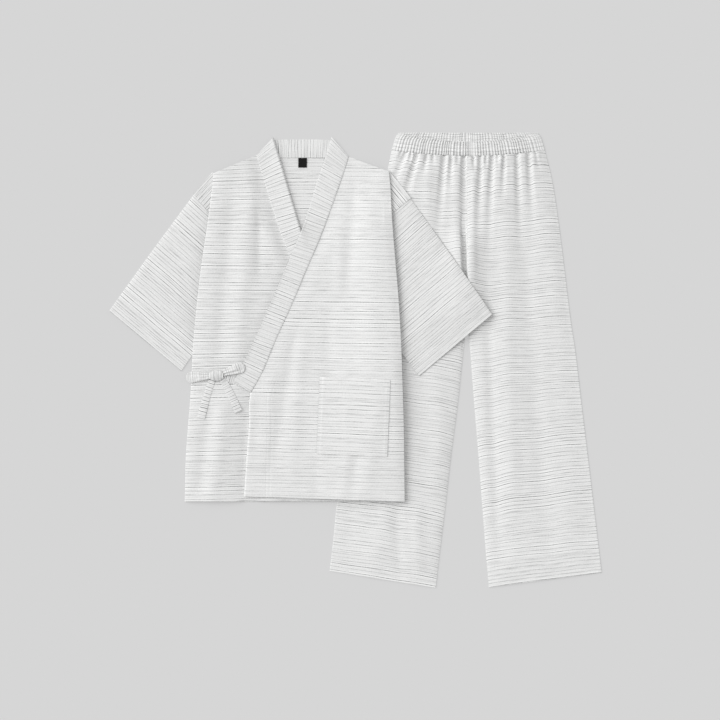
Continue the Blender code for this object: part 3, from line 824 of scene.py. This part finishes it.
for seed, side, sleeve, shoulder, tilt, fan, tightness in (
    (6, "right", SLEEVE_RIGHT, SHOULDER_RIGHT, 48, -0.17, 0.9984),
    (7, "left", SLEEVE_LEFT, SHOULDER_LEFT, -50, 0.03, 1.0),
):
    name, columns = "sleeve_" + side, (even(42), 6, even(30))
    fold_over(name, sleeve, sleeve_rows, columns, sleeve_hollow, seed, fan=fan, tightness=tightness)
    name, plan = "shoulder_" + side, between(shoulder, even(20), even(14))
    lay(name, plan, woven_lines(name, plan, seed + 10, tilt, 1.2), wall=0.5)

# %% [markdown]
# ## Jacket: fronts and collar
#
# The right front goes down first, with its length of the collar band, and the left front laps
# over both. The collar is a double band, sewn along the slanting edge of each front. Its woven
# lines run across it, so it is laid out as a strip of its own. Below the collar each front has a
# panel, joined on by a seam between two shallow grooves.

# %% Tables of the fronts and the collar
FRONT_RIGHT = table(
    EDGES, (-298, 392, -207, 430), (-300, 362, -193, 384), (-305, 325, -178, 333),
    (-312, 273, -159, 273), (-323, 199, -128, 201), (-333, 113, -88, 115), (-341, 21, -42, 21),
    (-346, -74, -4, -67), (-351, -137, 0, -137), (-356, -210, 4, -210), (-358, -297, 9, -296),
)
FRONT_LEFT = table(
    EDGES, (70, 395, -15, 427), (73, 365, -26, 390), (75, 325, -44, 338), (78, 275, -68, 272),
    (84, 201, -99, 200), (91, 115, -135, 114), (96, 21, -178, 20), (99, -72, -219, -68),
    (101, -137, -223, -137), (102, -210, -228.5, -210), (103, -296, -233.5, -286),
)
COLLAR_RIGHT = table(
    EDGES, (-208, 430, -172, 467), (-192, 378, -152, 400), (-170, 306, -129, 322),
    (-143, 231, -106, 252), (-100, 138, -61, 157), (-54, 46, -17, 64), (-4, -67, 33, -48),
)
COLLAR_LEFT = table(
    EDGES, (-15, 427, -50, 468), (-26, 390, -66, 416), (-42, 345, -82, 369), (-70, 268, -109, 283),
    (-102, 192, -140.5, 207), (-134, 116, -172.5, 133), (-166, 46, -203.5, 61),
    (-194, -22, -233, -2), (-220, -68, -255, -45),
)
CREASES_RIGHT = table(
    FOLD_COLUMNS, (-251, -272, -293, 420, -63, -2.4, 17), (-209, -234, -251, 420, -63, 2.2, 17),
    (-202, -202, -203, 441, 147, -2.0, 9), (-175, -171, -167, 368, 189, 1.6, 13),
    (-297, -316, -329, -52, -304, -2.2, 14), (-274, -287, -306, -63, -326, 2.2, 16),
    (-217, -220, -224, -40, -340, -5.6, 32),
)
CREASES_LEFT = table(
    FOLD_COLUMNS, (-5, -7, -20, 441, 126, -1.8, 13), (22, 33, 30, 420, -74, 2.0, 26),
    (-33, -33, -33, 284, 126, 1.2, 12), (-56, -56, -56, 126, -84, -1.6, 14),
    (-102, -123, -135, 105, -294, 1.2, 14), (-119, -148, -175, 105, -252, -1.6, 12),
    (-169, -184, -190, 10, -252, 1.4, 10), (-203, -209, -211, -52, -231, -0.9, 8),
    (-81, -81, -81, -189, -304, -1.2, 12), (-39, -45, -54, -42, -231, -1.4, 12),
    (-12, -16, -28, -42, -304, 1.4, 12), (7, 3, -7, -42, -304, -1.2, 10),
    (58, 35, 18, -42, -304, 1.6, 16),
)
SIDE_LEFT = table(
    "y height", (-300, 6.5), (-150, 14.5), (-40, 18.5), (60, 14), (270, 11), (330, 7.5), (395, 2.5),
)
TILT_RIGHT = table(
    "y degrees", (-240, 1.1), (-60, 1.6), (70, 0.6), (170, -0.75), (270, -0.75), (375, 2.6),
)
TILT_LEFT = table("y degrees", (-300, -1.3), (395, -1.0))
TIE_COLLAR = table("x y", (-290, -34), (-262, -41), (-234, -50))
COLLAR_EDGE = np.stack([COLLAR_LEFT["far_x"], COLLAR_LEFT["far_y"]], -1)
FRONT_EDGE = np.stack([FRONT_LEFT["far_x"], FRONT_LEFT["far_y"]], -1)[-4:]
LAP_EDGE = np.concatenate([COLLAR_EDGE, FRONT_EDGE])
print("the left front laps the right one along", len(LAP_EDGE), "points")

# %% Air under the fronts
RIGHT_AIR, RIGHT_RISE, RIGHT_RISE_OVER = 0.6, 3.2, 13.0
RIGHT_CROWN, RIGHT_CROWN_OVER = 1.2, 90.0
LAP_PRESS, LAP_PRESS_OVER = 0.6, 6.0
LEFT_AIR, SIDE_RIDGE = 1.4, 20.0
RIDGE_OUTSIDE, RIDGE_INSIDE, RIDGE_WIDER = 40.0, 25.0, 0.28


def air_under_right(plan, from_side):
    """The lower front rises softly from its side, and is pressed down beside what laps it."""
    covered = plan[..., 0] > np.interp(plan[..., 1], LAP_EDGE[::-1, 1], LAP_EDGE[::-1, 0])
    beside = np.where(covered, 0, from_line(plan, LAP_EDGE))
    rise = RIGHT_RISE * (1 - np.exp(-from_side / RIGHT_RISE_OVER))
    height = rise + RIGHT_CROWN * smoothstep(from_side / RIGHT_CROWN_OVER)
    return RIGHT_AIR + height * (1 - LAP_PRESS * np.exp(-beside / LAP_PRESS_OVER))


def air_under_left(plan, from_side):
    """The upper front stands up along its side, most over the trousers, and falls off both ways."""
    ridge = np.interp(plan[..., 1], SIDE_LEFT["y"], SIDE_LEFT["height"])
    reach = RIDGE_INSIDE + RIDGE_WIDER * from_side.max(axis=1, keepdims=True)
    from_ridge = from_side - SIDE_RIDGE
    away = np.where(from_ridge < 0, -from_ridge / RIDGE_OUTSIDE, from_ridge / reach)
    return LEFT_AIR + ridge * np.exp(-(away**2))

# %% How a front is laid
LAP = 5.0
COLLAR_END = -68.0
FREE_FROM, FREE_OVER, FREE_AIR, FREE_AIR_OVER = -62.0, 16.0, 0.8, 5.0
PANEL_SEAM, PANEL_FLARE = 40.0, 0.045
GROOVE_AT, GROOVE_HALF, GROOVE_DEPTH = 4.0, 0.8, 0.2
GROOVE_FROM, GROOVE_OVER = -30.0, 20.0
SIDE_ROUND, EDGE_ROUND = 0.6, 2.0
FOLDS_OVER, SEAM_OVER = 20.0, 30.0
FRONT_UNEVEN, FRONT_UNEVEN_SIZE = 0.35, (55, 70)
NEAR_STEPS = np.array([0, 0.6, 1.4, 2.6, 4.2, 6, 9])
FAR_STEPS = np.array([0.4, 1, 2, 3.5, 6, 10, 16, 23])
SEAM_STEPS = np.array([-6, -4.7, -4, -3.3, -2, 0, 2, 3.3, 4, 4.7, 6])


def round_edge(share):
    """A quarter turn, from 0 at the very edge to 1."""
    return np.sqrt(1 - (1 - np.clip(share, 0, 1)) ** 2)


def front(name, outline, creases, air, seed, tilt, tightness):
    """Lays a front, and returns the pile as it is for the collar: this front without its folds."""
    rows = with_marks(116, hem_mark)
    far_y = edge(outline, "far", rows)[:, 1:]
    seam_at = np.maximum(PANEL_SEAM + (COLLAR_END - far_y) * PANEL_FLARE, PANEL_SEAM)
    free = smoothstep((FREE_FROM - far_y) / FREE_OVER)
    level = np.zeros((len(rows), 1))
    lapped = [-LAP * (1 - free), -LAP / 2 * (1 - free) + 0.1]
    far_steps = np.concatenate([*lapped, level + FAR_STEPS, seam_at + SEAM_STEPS], 1)
    plan, from_side, from_seam = spread(outline, rows, 52, level + NEAR_STEPS, far_steps)
    edge_air = free * FREE_AIR * (1 - np.exp(-from_seam / FREE_AIR_OVER))
    height = pile.rest(plan)
    bridged = pile.rest(plan, STIFF_PASSES) - height
    creased = folds(creases, plan) * smoothstep(from_side / FOLDS_OVER)
    soft = bridged + (air(plan, from_side) + edge_air) + creased
    rounded = free * round_edge(from_seam / EDGE_ROUND)
    at_seam = (1 - free) * smoothstep(from_seam / SEAM_OVER) + rounded
    relief = np.clip(soft + FRONT_UNEVEN * ripple(plan, FRONT_UNEVEN_SIZE, seed), 0, None)
    relief = relief * round_edge(from_side / SIDE_ROUND) * at_seam + jacket_hem(plan)
    groove = hill(np.abs(np.abs(from_seam - seam_at) - GROOVE_AT), GROOVE_HALF)
    relief -= GROOVE_DEPTH * groove * smoothstep((GROOVE_FROM - plan[..., 1]) / GROOVE_OVER)
    for_collar = Pile(pile.top)
    for_collar.add(np.concatenate([plan, height[..., None] + WALL], -1))
    lay(name, plan, woven_lines(name, plan, seed, tilt, tightness), relief, height=height)
    return for_collar

# %% How a collar band is laid
NECK_BEND, NECK_OVER = 225.0, 60.0
COLLAR_PUCKER, COLLAR_PUCKER_SIZE, COLLAR_PUCKER_REACH = 0.45, (9, 6), 0.2
COLLAR_AIR, COLLAR_CROWN = 0.5, 0.4
SEWN_ROUND, FREE_ROUND = 0.06, 0.08


def collar(name, outline, slope, rise, lean, tightness, seed, beneath):
    """Lays a length of collar band, its free edge raised by a slope, and by more at the neck."""
    across = np.unique(np.concatenate([even(12), [0.02, 0.05, 0.93, 0.96, 0.985]]))
    plan = between(outline, even(130), across)
    at_neck = smoothstep((plan[..., 1] - NECK_BEND) / NECK_OVER)
    puckers = COLLAR_PUCKER * ripple(plan, COLLAR_PUCKER_SIZE, seed)
    puckers = puckers * hill(across, COLLAR_PUCKER_REACH)[None]
    stands = COLLAR_AIR + (slope + rise * at_neck) * across[None] ** 1.5
    stands = stands + COLLAR_CROWN * np.sin(np.pi * across)[None] + puckers
    rounded = round_edge(across / SEWN_ROUND)[None] * round_edge((1 - across) / FREE_ROUND)[None]
    uv = along_rows(name, plan, seed, tightness, lean)
    lay(name, plan, uv, stands * rounded, height=beneath.rest(plan))

# %% How a tie is laid
TIE_WIDTH, TIE_WALL = 15.5, 0.3


def strip(route, rows, across, width):
    """Points over a strip that follows a route."""
    line = np.stack([smooth(route["x"], rows), smooth(route["y"], rows)], -1)
    way = np.gradient(line, axis=0)
    way /= np.linalg.norm(way, axis=1, keepdims=True)
    aside = np.stack([-way[:, 1], way[:, 0]], -1)
    return line[:, None] + aside[:, None] * (across * width)[..., None]


def lay_tie(name, route, seed, tightness=1.25):
    """A narrow tie, a little crowned, on whatever it crosses. It widens on the way to its end."""
    across, rows = np.linspace(-0.5, 0.5, 13), even(40)
    width = TIE_WIDTH * (0.6 + 0.25 * smoothstep(rows / 0.3) + 0.22 * rows)[:, None]
    plan = strip(route, rows, across, width)
    crown = 0.3 - 0.65 * np.abs(2 * across)[None] ** 3 + 0.2 * ripple(plan, (7, 9), seed) ** 2
    lay(name, plan, along_rows(name, plan, seed, tightness), crown, TIE_WALL)

# %% Lay the fronts, their collar bands and the tie between
beneath = front("front_right", FRONT_RIGHT, CREASES_RIGHT, air_under_right, 8, TILT_RIGHT, 0.9595)
collar("collar_right", COLLAR_RIGHT, 0.9, 5.5, -0.11, 1.0, 9, beneath)
lay_tie("tie_collar", TIE_COLLAR, 14)
beneath = front("front_left", FRONT_LEFT, CREASES_LEFT, air_under_left, 10, TILT_LEFT, 0.95)
collar("collar_left", COLLAR_LEFT, -0.4, 0.3, -0.04, 0.99, 11, beneath)

# %% [markdown]
# ## Jacket: the pocket
#
# A square patch, turned in on three sides and hemmed along its mouth. It is laid on the left
# front like any other sheet, so it follows the front's folds.

# %% The pocket
POCKET_WIDTH, POCKET_HEIGHT = 148.0, 161.0
POCKET_CORNER, POCKET_TURN = (-75.0, -35.0), -2.3
POCKET_SEAM, POCKET_MOUTH = 7.0, 19.0
POCKET_HEM, POCKET_AIR, POCKET_AIR_OVER = 0.4, 0.6, 5.0
rows, across = with_marks(30, 0.12, 0.955), with_marks(28, 0.045, 0.955)
plan = patch(POCKET_CORNER, POCKET_WIDTH, POCKET_HEIGHT, POCKET_TURN, rows, across)
from_side = POCKET_WIDTH * np.minimum(across, 1 - across)[None]
from_edge = np.minimum(from_side, POCKET_HEIGHT * (1 - rows)[:, None])
turned_in = hem(POCKET_HEIGHT * rows[:, None], POCKET_MOUTH)
turned_in = np.maximum(hem(from_edge, POCKET_SEAM), turned_in)
relief = turned_in * POCKET_HEM + POCKET_AIR * (1 - np.exp(-from_edge / POCKET_AIR_OVER))
lay("pocket", plan, woven_lines("pocket", plan, 12, POCKET_TURN + 0.4, 0.92), relief, wall=0.35)

# %% [markdown]
# ## The bow
#
# Two narrow ties meet at the wearer's right side: one from the side seam, one from the end of the
# collar. The bow has two flat loops, each folded at its tip, two hanging ends and the knot, which
# is a turn of the same tie drawn over the loops.

# %% Ties
TIE_ROUTES = {
    "tie_side": table("x y", (-294, -35), (-318, -37), (-345, -41)),
    "tie_tail_right": table("x y", (-297, -33), (-304, -52), (-314, -84), (-324, -122)),
    "tie_tail_left": table("x y", (-286, -33), (-273, -50), (-258, -79), (-245, -109)),
}
for seed, tightness, (name, route) in zip((13, 14, 15), (1.25, 1.0625, 1.375), TIE_ROUTES.items()):
    lay_tie(name, route, seed, tightness)

# %% Loops
KNOT_AT = np.array([-292.0, -32.5])
LOOP_LENGTH, LOOP_HEIGHT, LOOP_TIP = 63.0, 24.0, 44.0
LOOP_START, LOOP_START_HEIGHT = 7.0, 10.0
LOOP_AIR, LOOP_PLEAT, LOOP_CREASE = 3.0, 0.8, 2.2


def loop_hollow(plan):
    """Air inside a loop: pleats that run out from the knot, and one crease along it."""
    across = np.linspace(0, 1, plan.shape[1])[None]
    side = np.linspace(-1, 1, plan.shape[0])[:, None]
    pleats = LOOP_PLEAT * np.cos(2.5 * np.pi * side) * (1 - across) ** 1.5
    pleats = pleats + LOOP_PLEAT * ripple(plan, (7, 6), 21)
    pleats -= LOOP_CREASE * hill(side + 0.4 + 0.2 * across, 0.17) * (1 - across**4)
    air = LOOP_AIR * np.sin(np.pi * across) ** 0.8 * (1 - 0.6 * side**2)
    return np.clip(air + pleats, 0, None)


for seed, name, direction in ((17, "bow_loop_right", 184), (18, "bow_loop_left", 18)):
    out, aside = heading(direction), heading(direction + 90)
    shares = np.linspace(-0.5, 0.5, 9)[:, None]
    near = KNOT_AT + LOOP_START * out + LOOP_START_HEIGHT * shares * aside
    reach = LOOP_LENGTH - LOOP_TIP * np.abs(shares) ** 2.5
    far = KNOT_AT + reach * out + LOOP_HEIGHT * shares * aside
    outline = dict(zip(EDGES.split(), (*near.T, *far.T)))
    columns = (even(26), 8, even(22))
    fold_over(name, outline, even(24), columns, loop_hollow, seed, tightness=1.7, turned=True)

# %% The knot
KNOT_WIDTH, KNOT_LENGTH, KNOT_CORNER = 30.0, 21.0, 0.9
KNOT_DOME, KNOT_WRINKLE = 2.2, 0.5
shares = np.linspace(-0.5, 0.5, 25)
across, up = np.meshgrid(shares, shares)
knot_x = KNOT_WIDTH * across * (1 - KNOT_CORNER * up**2)
knot_y = KNOT_LENGTH * up * (1 - KNOT_CORNER * across**2)
plan = KNOT_AT + np.stack([knot_x, knot_y], -1)
dome = np.cos(np.pi * across) * np.cos(np.pi * up)
dome *= KNOT_DOME + KNOT_WRINKLE * np.cos(14 * across + 5 * up)
lay("bow_knot", plan, on_bolt("bow_knot", knot_y, knot_x * 1.5), dome, BAND_WALL)

# %% [markdown]
# ## The cloth's finish
#
# The cotton is woven off-white with thin grey lines, one about every 8 mm. No two lines are
# alike: some are faint and some are crisp, and each fades in and out along its length. The maths
# for that is written as plain expressions. A small class wraps a socket, so that adding two of
# them adds a node.

# %% Shader maths
class Number:
    """A socket that carries a number. Maths on it adds Math nodes."""

    def __init__(self, finish, socket):
        self.finish, self.socket = finish, socket

    def math(self, operation, *others):
        values = dict(enumerate((self, *others)))
        node = self.finish.add("ShaderNodeMath", values, operation=operation)
        return Number(self.finish, node.outputs[0])

    def __add__(self, other):
        return self.math("ADD", other)

    def __mul__(self, other):
        return self.math("MULTIPLY", other)

    def __sub__(self, other):
        return self.math("SUBTRACT", other)

    def __rsub__(self, other):
        return (self * -1.0).math("ADD", other)

    def __truediv__(self, other):
        return self.math("DIVIDE", other)

    __radd__, __rmul__ = __add__, __mul__

    def clamped(self, low, high):
        return self.math("MAXIMUM", low).math("MINIMUM", high)

    def peak(self, reach):
        """1 where this distance is 0, and down to 0 at its reach."""
        return (1.0 - self / reach).math("MAXIMUM", 0.0)


print("a socket may stand on either side of:", [n for n in vars(Number) if n[:3] == "__r"])

# %% A material, and its nodes
class Finish:
    """A material, and one short way to add nodes to it."""

    def __init__(self, name, **constants):
        self.material = bpy.data.materials.new(name)
        self.material.use_nodes = True
        self.tree = self.material.node_tree
        self.shader = self.tree.nodes["Principled BSDF"]
        for socket, value in constants.items():
            self.shader.inputs[socket.replace("_", " ")].default_value = value

    def feed(self, socket, value):
        if isinstance(value, Number):
            value = value.socket
        if isinstance(value, bpy.types.NodeSocket):
            self.tree.links.new(value, socket)
        else:
            socket.default_value = value

    def add(self, kind, sockets, **settings):
        node = self.tree.nodes.new(kind)
        for name, value in settings.items():
            setattr(node, name, value)
        for name, value in sockets.items():
            self.feed(node.inputs[name], value)
        return node

    def noise(self, x, y, detail=0.0):
        place = self.add("ShaderNodeCombineXYZ", {"X": x, "Y": y}).outputs[0]
        sockets = {"Vector": place, "Scale": 1.0, "Detail": detail}
        return Number(self, self.add("ShaderNodeTexNoise", sockets).outputs[0])

    def hashed(self, value):
        """A random number from 0 to 1, made from another number."""
        node = self.add("ShaderNodeTexWhiteNoise", {"W": value}, noise_dimensions="1D")
        return Number(self, node.outputs["Value"])

    def along_and_across(self):
        uv = self.add("ShaderNodeUVMap", {}, uv_map="UVMap").outputs[0]
        split = self.add("ShaderNodeSeparateXYZ", {0: uv})
        return Number(self, split.outputs[0]), Number(self, split.outputs[1])

    def color(self, share, first, second):
        """Colours the surface with a mix of two colours."""
        sockets = {0: share, 6: (*first, 1), 7: (*second, 1)}
        mixed = self.add("ShaderNodeMix", sockets, data_type="RGBA").outputs[2]
        self.feed(self.shader.inputs["Base Color"], mixed)

    def bump(self, height, distance):
        sockets = {"Height": height, "Distance": distance, "Strength": 1.0}
        self.feed(self.shader.inputs["Normal"], self.add("ShaderNodeBump", sockets).outputs[0])

# %% [markdown]
# Each line has a number, which is how many line spacings lie before it. A random value made from
# that number moves the line a little, and sets how dark it is. One in five is crisp. Two noises
# vary a line along its length, one slow, and one as fine as the slubs in the yarn. On both sides
# of each line the cloth is painted a little whiter: a painted highlight, where the raised line
# would catch light. Fainter and wider lines lie between, with a closer spacing of their own. Last
# come the mottle, the grain and the threads of the weave. The lines look stronger on some pieces
# than on others, so there are three strengths of the same cotton.

# %% Striped cotton
LINE_SPACING, FINE_SPACING = 0.0079, 0.0047
LINE_REACH, FINE_REACH = 0.00115, 0.0016
LINE_WANDER, FINE_WANDER = 0.0016, 0.0012
LINE_NUDGE = 0.34
CRISP_FROM, CRISP_THINNER = 0.8, 0.0003
# These three place a painted highlight beside each line: how far out, how wide, and how strong.
RIM_AT, RIM_REACH, RIM_PAINTED_HIGHLIGHT = 0.0021, 0.0011, 0.3
SLOW, SLUBS, FINE_SLOW = 42.0, 420.0, 40.0  # bumps a metre, along a line
WANDER, MOTTLE, GRAIN = (14.0, 9.0), (25.0, 160.0), (330.0, 430.0)  # along and across
THREADS, CRINKLE = (900.0, 2600.0), (190.0, 320.0)
MOTTLE_GREY, GRAIN_GREY, THREAD_GREY, PLAIN_GREY = 0.24, 0.27, 0.12, 0.18
COTTON = (0.94, 0.94, 0.934)
GREY_YARN = (0.20, 0.205, 0.205)
CREPE_DEPTH = 0.0004


def striped_cotton(name, strength):
    """Off-white cotton with grey lines as strong as this."""
    cotton = Finish(name, Roughness=0.9, Sheen_Weight=0.05, Specular_IOR_Level=0.15)
    along, across = cotton.along_and_across()

    def rough(bumps, detail=0.0):
        return cotton.noise(along * bumps[0], across * bumps[1], detail)

    wander = rough(WANDER) - 0.5

    place = (across + wander * LINE_WANDER) / LINE_SPACING
    number = place.math("FLOOR")
    nudge = (cotton.hashed(number) - 0.5) * LINE_NUDGE
    aside = ((place - number - 0.5 - nudge) * LINE_SPACING).math("ABSOLUTE")
    fate = cotton.hashed(number + 91.7)
    crisp = fate.math("GREATER_THAN", CRISP_FROM)
    profile = aside.peak(LINE_REACH - crisp * CRISP_THINNER)
    # Painted highlight: the cloth just beside each line is painted whiter, as a raised line
    # catching light.
    painted_rim_highlight = (aside - RIM_AT).math("ABSOLUTE").peak(RIM_REACH)
    slow = cotton.noise(along * SLOW, number * 7.3, detail=1.0) * 2.4 - 0.45
    slubs = cotton.noise(along * SLUBS, number * 3.1) * 1.3 + 0.35
    depth = 0.33 + fate * 0.2 + crisp * 0.5
    line = (profile * slubs - painted_rim_highlight * RIM_PAINTED_HIGHLIGHT) * depth * slow.clamped(crisp * 0.35 + 0.15, 1.0)

    place = (across + wander * FINE_WANDER) / FINE_SPACING
    number = place.math("FLOOR")
    aside = ((place - number - 0.5) * FINE_SPACING).math("ABSOLUTE")
    share = (cotton.hashed(number + 7.3) * 1.5 - 0.5).math("MAXIMUM", 0.0)
    slow = (cotton.noise(along * FINE_SLOW, number * 5.9) * 2.4 - 0.7).math("MAXIMUM", 0.0)
    fine = (1.0 - aside / FINE_REACH) * share * slow * 0.42

    mottle, grain = rough(MOTTLE, 2.0) - 0.42, rough(GRAIN, 1.0) - 0.42
    threads = rough(THREADS) - 0.5
    shade = (line + fine) * strength + mottle * MOTTLE_GREY + grain * GRAIN_GREY
    shade = shade + threads * THREAD_GREY + PLAIN_GREY
    cotton.color(shade.clamped(0.0, 1.0), COTTON, GREY_YARN)
    cotton.bump(rough(CRINKLE, 1.0) * 0.55 + threads * 0.25 - line * 0.3, CREPE_DEPTH)
    return cotton.material


# The pale cotton's fainter lines are also painted light: they lift the left collar and the
# waistband, which their slope and their ribs shade.
finishes = {
    "pale": striped_cotton("striped_cotton_pale_and_painted_light", 0.77),
    "plain": striped_cotton("striped_cotton", 0.95),
    "dark": striped_cotton("striped_cotton_dark", 1.25),
}
print("the cotton has", len(finishes["plain"].node_tree.nodes), "nodes")

# %% [markdown]
# The label is a bare, close-woven black patch. Its weave is two crossing waves, only as deep as a
# thread. The sewing thread is white, a little paler here and there.

# %% Black label and sewing thread
LABEL_THREADS = 9000.0


def black_label():
    weave = Finish("black_label", Roughness=0.85, Specular_IOR_Level=0.1)
    along, across = weave.along_and_across()
    rib = (along * LABEL_THREADS).math("SINE") * (across * LABEL_THREADS).math("SINE")
    weave.color(rib * 0.5 + 0.5, (0.010,) * 3, (0.020,) * 3)
    weave.bump(rib, 0.0001)
    return weave.material


def sewing_thread():
    thread = Finish("sewing_thread", Roughness=0.75, Sheen_Weight=0.1)
    thread.color(thread.noise(*thread.along_and_across(), detail=1.0), (0.74,) * 3, (0.66,) * 3)
    return thread.material


finishes["label"], thread = black_label(), sewing_thread()
print(len(finishes), "finishes for cloth, and one for thread")

# %% [markdown]
# ## Dress the frame
#
# Each sheet takes the place of its node, and moves with the only body that there is. The size
# each sheet was cut to, seams left out, is measured over its grid of points and printed.

# %% Ride and replace, and measure each cut
def cut_size(name):
    """Width, length and area of a grid of cloth, in metres, laid flat."""
    points = sheets[name] * MM
    across = np.linalg.norm(np.diff(points, axis=1), axis=-1).sum(axis=1)
    down = np.linalg.norm(np.diff(points, axis=0), axis=-1).sum(axis=0)
    crossed = np.cross(points[1:, 1:] - points[:-1, :-1], points[1:, :-1] - points[:-1, 1:])
    return across.max(), down.max(), float(np.linalg.norm(crossed, axis=-1).sum() / 2)


for name, (_, finish, held, below) in PIECES.items():
    piece = cloths[name]
    piece.data.materials.append(finishes[finish])
    width, length, area = cut_size(name)
    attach(piece, "root")
    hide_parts(name)
    "label" if name == "label" else "cloth"
    area = min(area, width * length)
    print(f"{name}: cut {width / MM:.0f} x {length / MM:.0f} mm, {area:.4f} square metres")

# %% [markdown]
# ## Stitches
#
# Hems, collars and the pocket are held by rows of straight stitches, and so is the seam down the
# left front. One stitch is a drop of thread, drawn out to a point at both ends where it goes down
# into the cloth. Its copies follow each row on the finished cloth, wherever nothing lies over it.

# %% Rows of stitches
STITCH_LENGTH, STITCH_STEP, THREAD_WIDTH = 2.4, 3.5, 0.42
STITCH_RAISED = 0.03
PANEL_END = -35.0


def line_at(grid, down, distance):
    """A line of a sheet's points this far from its last row or, below 0, from its first one.

    If down, it is this far from the first column or, below 0, from the last one."""
    grid = grid.transpose(1, 0, 2) if down else grid[::-1]
    grid = grid if distance > 0 else grid[::-1]
    from_end = np.linalg.norm(grid - grid[:1], axis=-1)[:, -1 if down else grid.shape[1] // 2]
    return grid[np.argmin(np.abs(from_end - abs(distance)))]


ROWS_SEWN = (
    ("front_left", "", True, -42.5),
    ("front_left", "", False, 19),
    ("front_right", "", False, 19),
    ("sleeve_right", "_top", False, 19),
    ("sleeve_left", "_top", False, 19),
    ("leg_right", "_top", False, 25),
    ("leg_left", "_top", False, 25),
    ("pocket", "", False, -17),
    ("pocket", "", False, 2.5),
    ("pocket", "", True, 2.5),
    ("pocket", "", True, -2.5),
    ("collar_right", "", True, 2.5),
    ("collar_left", "", True, 2.5),
    ("collar_neck", "", True, -3),
)


def top_piece(point):
    """The piece that a ray from above meets first, and the place and the upward way there."""
    best = (None, None, None)
    for name in PIECES:
        hit, place, normal, _ = cloths[name].ray_cast((point[0], point[1], 0.1), (0, 0, -1))
        if hit and (best[1] is None or place.z > best[1].z):
            best = (name, place, normal)
    return best


print(len(ROWS_SEWN), "rows to sew")

# %% Where each stitch goes
places = []
for name, part, down, distance in ROWS_SEWN:
    line = line_at(sheets[name + part], down, distance)
    if (name, down) == ("front_left", True):
        line = line[line[:, 1] < PANEL_END]
    run = run_along(line)
    at = np.arange(STITCH_STEP, run[-1] - STITCH_LENGTH, STITCH_STEP)
    ends = np.stack([at, at + STITCH_LENGTH], -1)
    ends = np.stack([np.interp(ends, run, line[:, axis]) for axis in range(3)], -1)
    before = len(places)
    for first, last in (ends + PAGE_SHIFT) * MM:
        on_top, place, up = top_piece((first + last) / 2)
        if on_top != name:
            continue
        way = mathutils.Vector(last - first).normalized()
        side = up.cross(way).normalized()
        turned = mathutils.Matrix((way, side, way.cross(side))).transposed().to_4x4()
        places.append(mathutils.Matrix.Translation(place + up * STITCH_RAISED * MM) @ turned)
    print(f"{name}: {len(places) - before} stitches in a row of {run[-1]:.0f} mm")

# %% One stitch, and its copies
bpy.ops.object.select_all(action="DESELECT")
bpy.ops.mesh.primitive_uv_sphere_add(segments=6, ring_count=4, radius=THREAD_WIDTH / 2 * MM)
stitch = bpy.context.object
middle = (0, 0, 0)
edit_all(bpy.ops.transform.rotate, value=math.pi / 2, orient_axis="Y", center_override=middle)
edit_all(bpy.ops.transform.resize, value=(STITCH_LENGTH / THREAD_WIDTH, 1, 0.8))
bpy.ops.object.shade_smooth()
stitch.data.materials.append(thread)
bpy.ops.object.select_all(action="DESELECT")
for place in places:
    copy = bpy.data.objects.new("stitch", stitch.data.copy())
    copy.data.transform(place)
    bpy.context.collection.objects.link(copy)
    copy.select_set(True)
bpy.context.view_layer.objects.active = copy
bpy.ops.object.join()
stitches = bpy.context.object
stitches.name = stitches.data.name = "stitches"
bpy.data.objects.remove(stitch)
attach(stitches, "root")
print(len(stitches.data.polygons), "faces of thread")

# %% [markdown]
# ## Camera, light and floor
#
# The set is seen from straight above through a long lens, so that nothing leans. One broad, soft
# light comes from the upper left, low enough to draw the folds, and a pale surround fills the
# shadows.

# %% Camera
VIEW_WIDTH, VIEW_MIDDLE = 1.512, (0.0095, 0.0005)
LENS, SENSOR = 100, 36
camera_data = bpy.data.cameras.new("camera")
camera_data.lens, camera_data.sensor_width = LENS, SENSOR
camera = bpy.data.objects.new("camera", camera_data)
camera.location = (*VIEW_MIDDLE, VIEW_WIDTH * LENS / SENSOR)
bpy.context.collection.objects.link(camera)
bpy.context.scene.camera = camera
bpy.context.scene.view_settings.view_transform = "Standard"
print("the camera hangs", round(camera.location.z, 2), "m up")

# %% Light
SUN_STRENGTH, SUN_WIDTH = 2.17, math.radians(54)
SUN_TURN = (math.radians(53), 0, math.radians(243))
SURROUND = 0.57
WHITE = (1.0, 1.0, 1.0, 1.0)
light_data = bpy.data.lights.new("window", "SUN")
light_data.energy, light_data.angle = SUN_STRENGTH, SUN_WIDTH
light = bpy.data.objects.new("window", light_data)
light.rotation_euler = SUN_TURN
bpy.context.collection.objects.link(light)
print("light comes from", light.rotation_euler.to_matrix() @ mathutils.Vector((0, 0, 1)))

world = bpy.data.worlds.new("pale surround")
bpy.context.scene.world = world
world.use_nodes = True
background = world.node_tree.nodes["Background"]
background.inputs["Color"].default_value = WHITE
background.inputs["Strength"].default_value = SURROUND

# %% Floor
FLOOR_SIZE, FLOOR_DROP, FLOOR_GLOW = 12, 0.0002, 0.37
bpy.ops.object.select_all(action="DESELECT")
bpy.ops.mesh.primitive_plane_add(size=FLOOR_SIZE, location=(0, 0, -FLOOR_DROP))
floor = bpy.context.object
floor.name = "floor"
paper = Finish("pale_paper", Roughness=0.95, Specular_IOR_Level=0.1, Emission_Strength=FLOOR_GLOW)
paper.shader.inputs["Emission Color"].default_value = WHITE
paper.color(paper.noise(*paper.along_and_across(), detail=2.0), (0.30,) * 3, (0.31,) * 3)
floor.data.materials.append(paper.material)
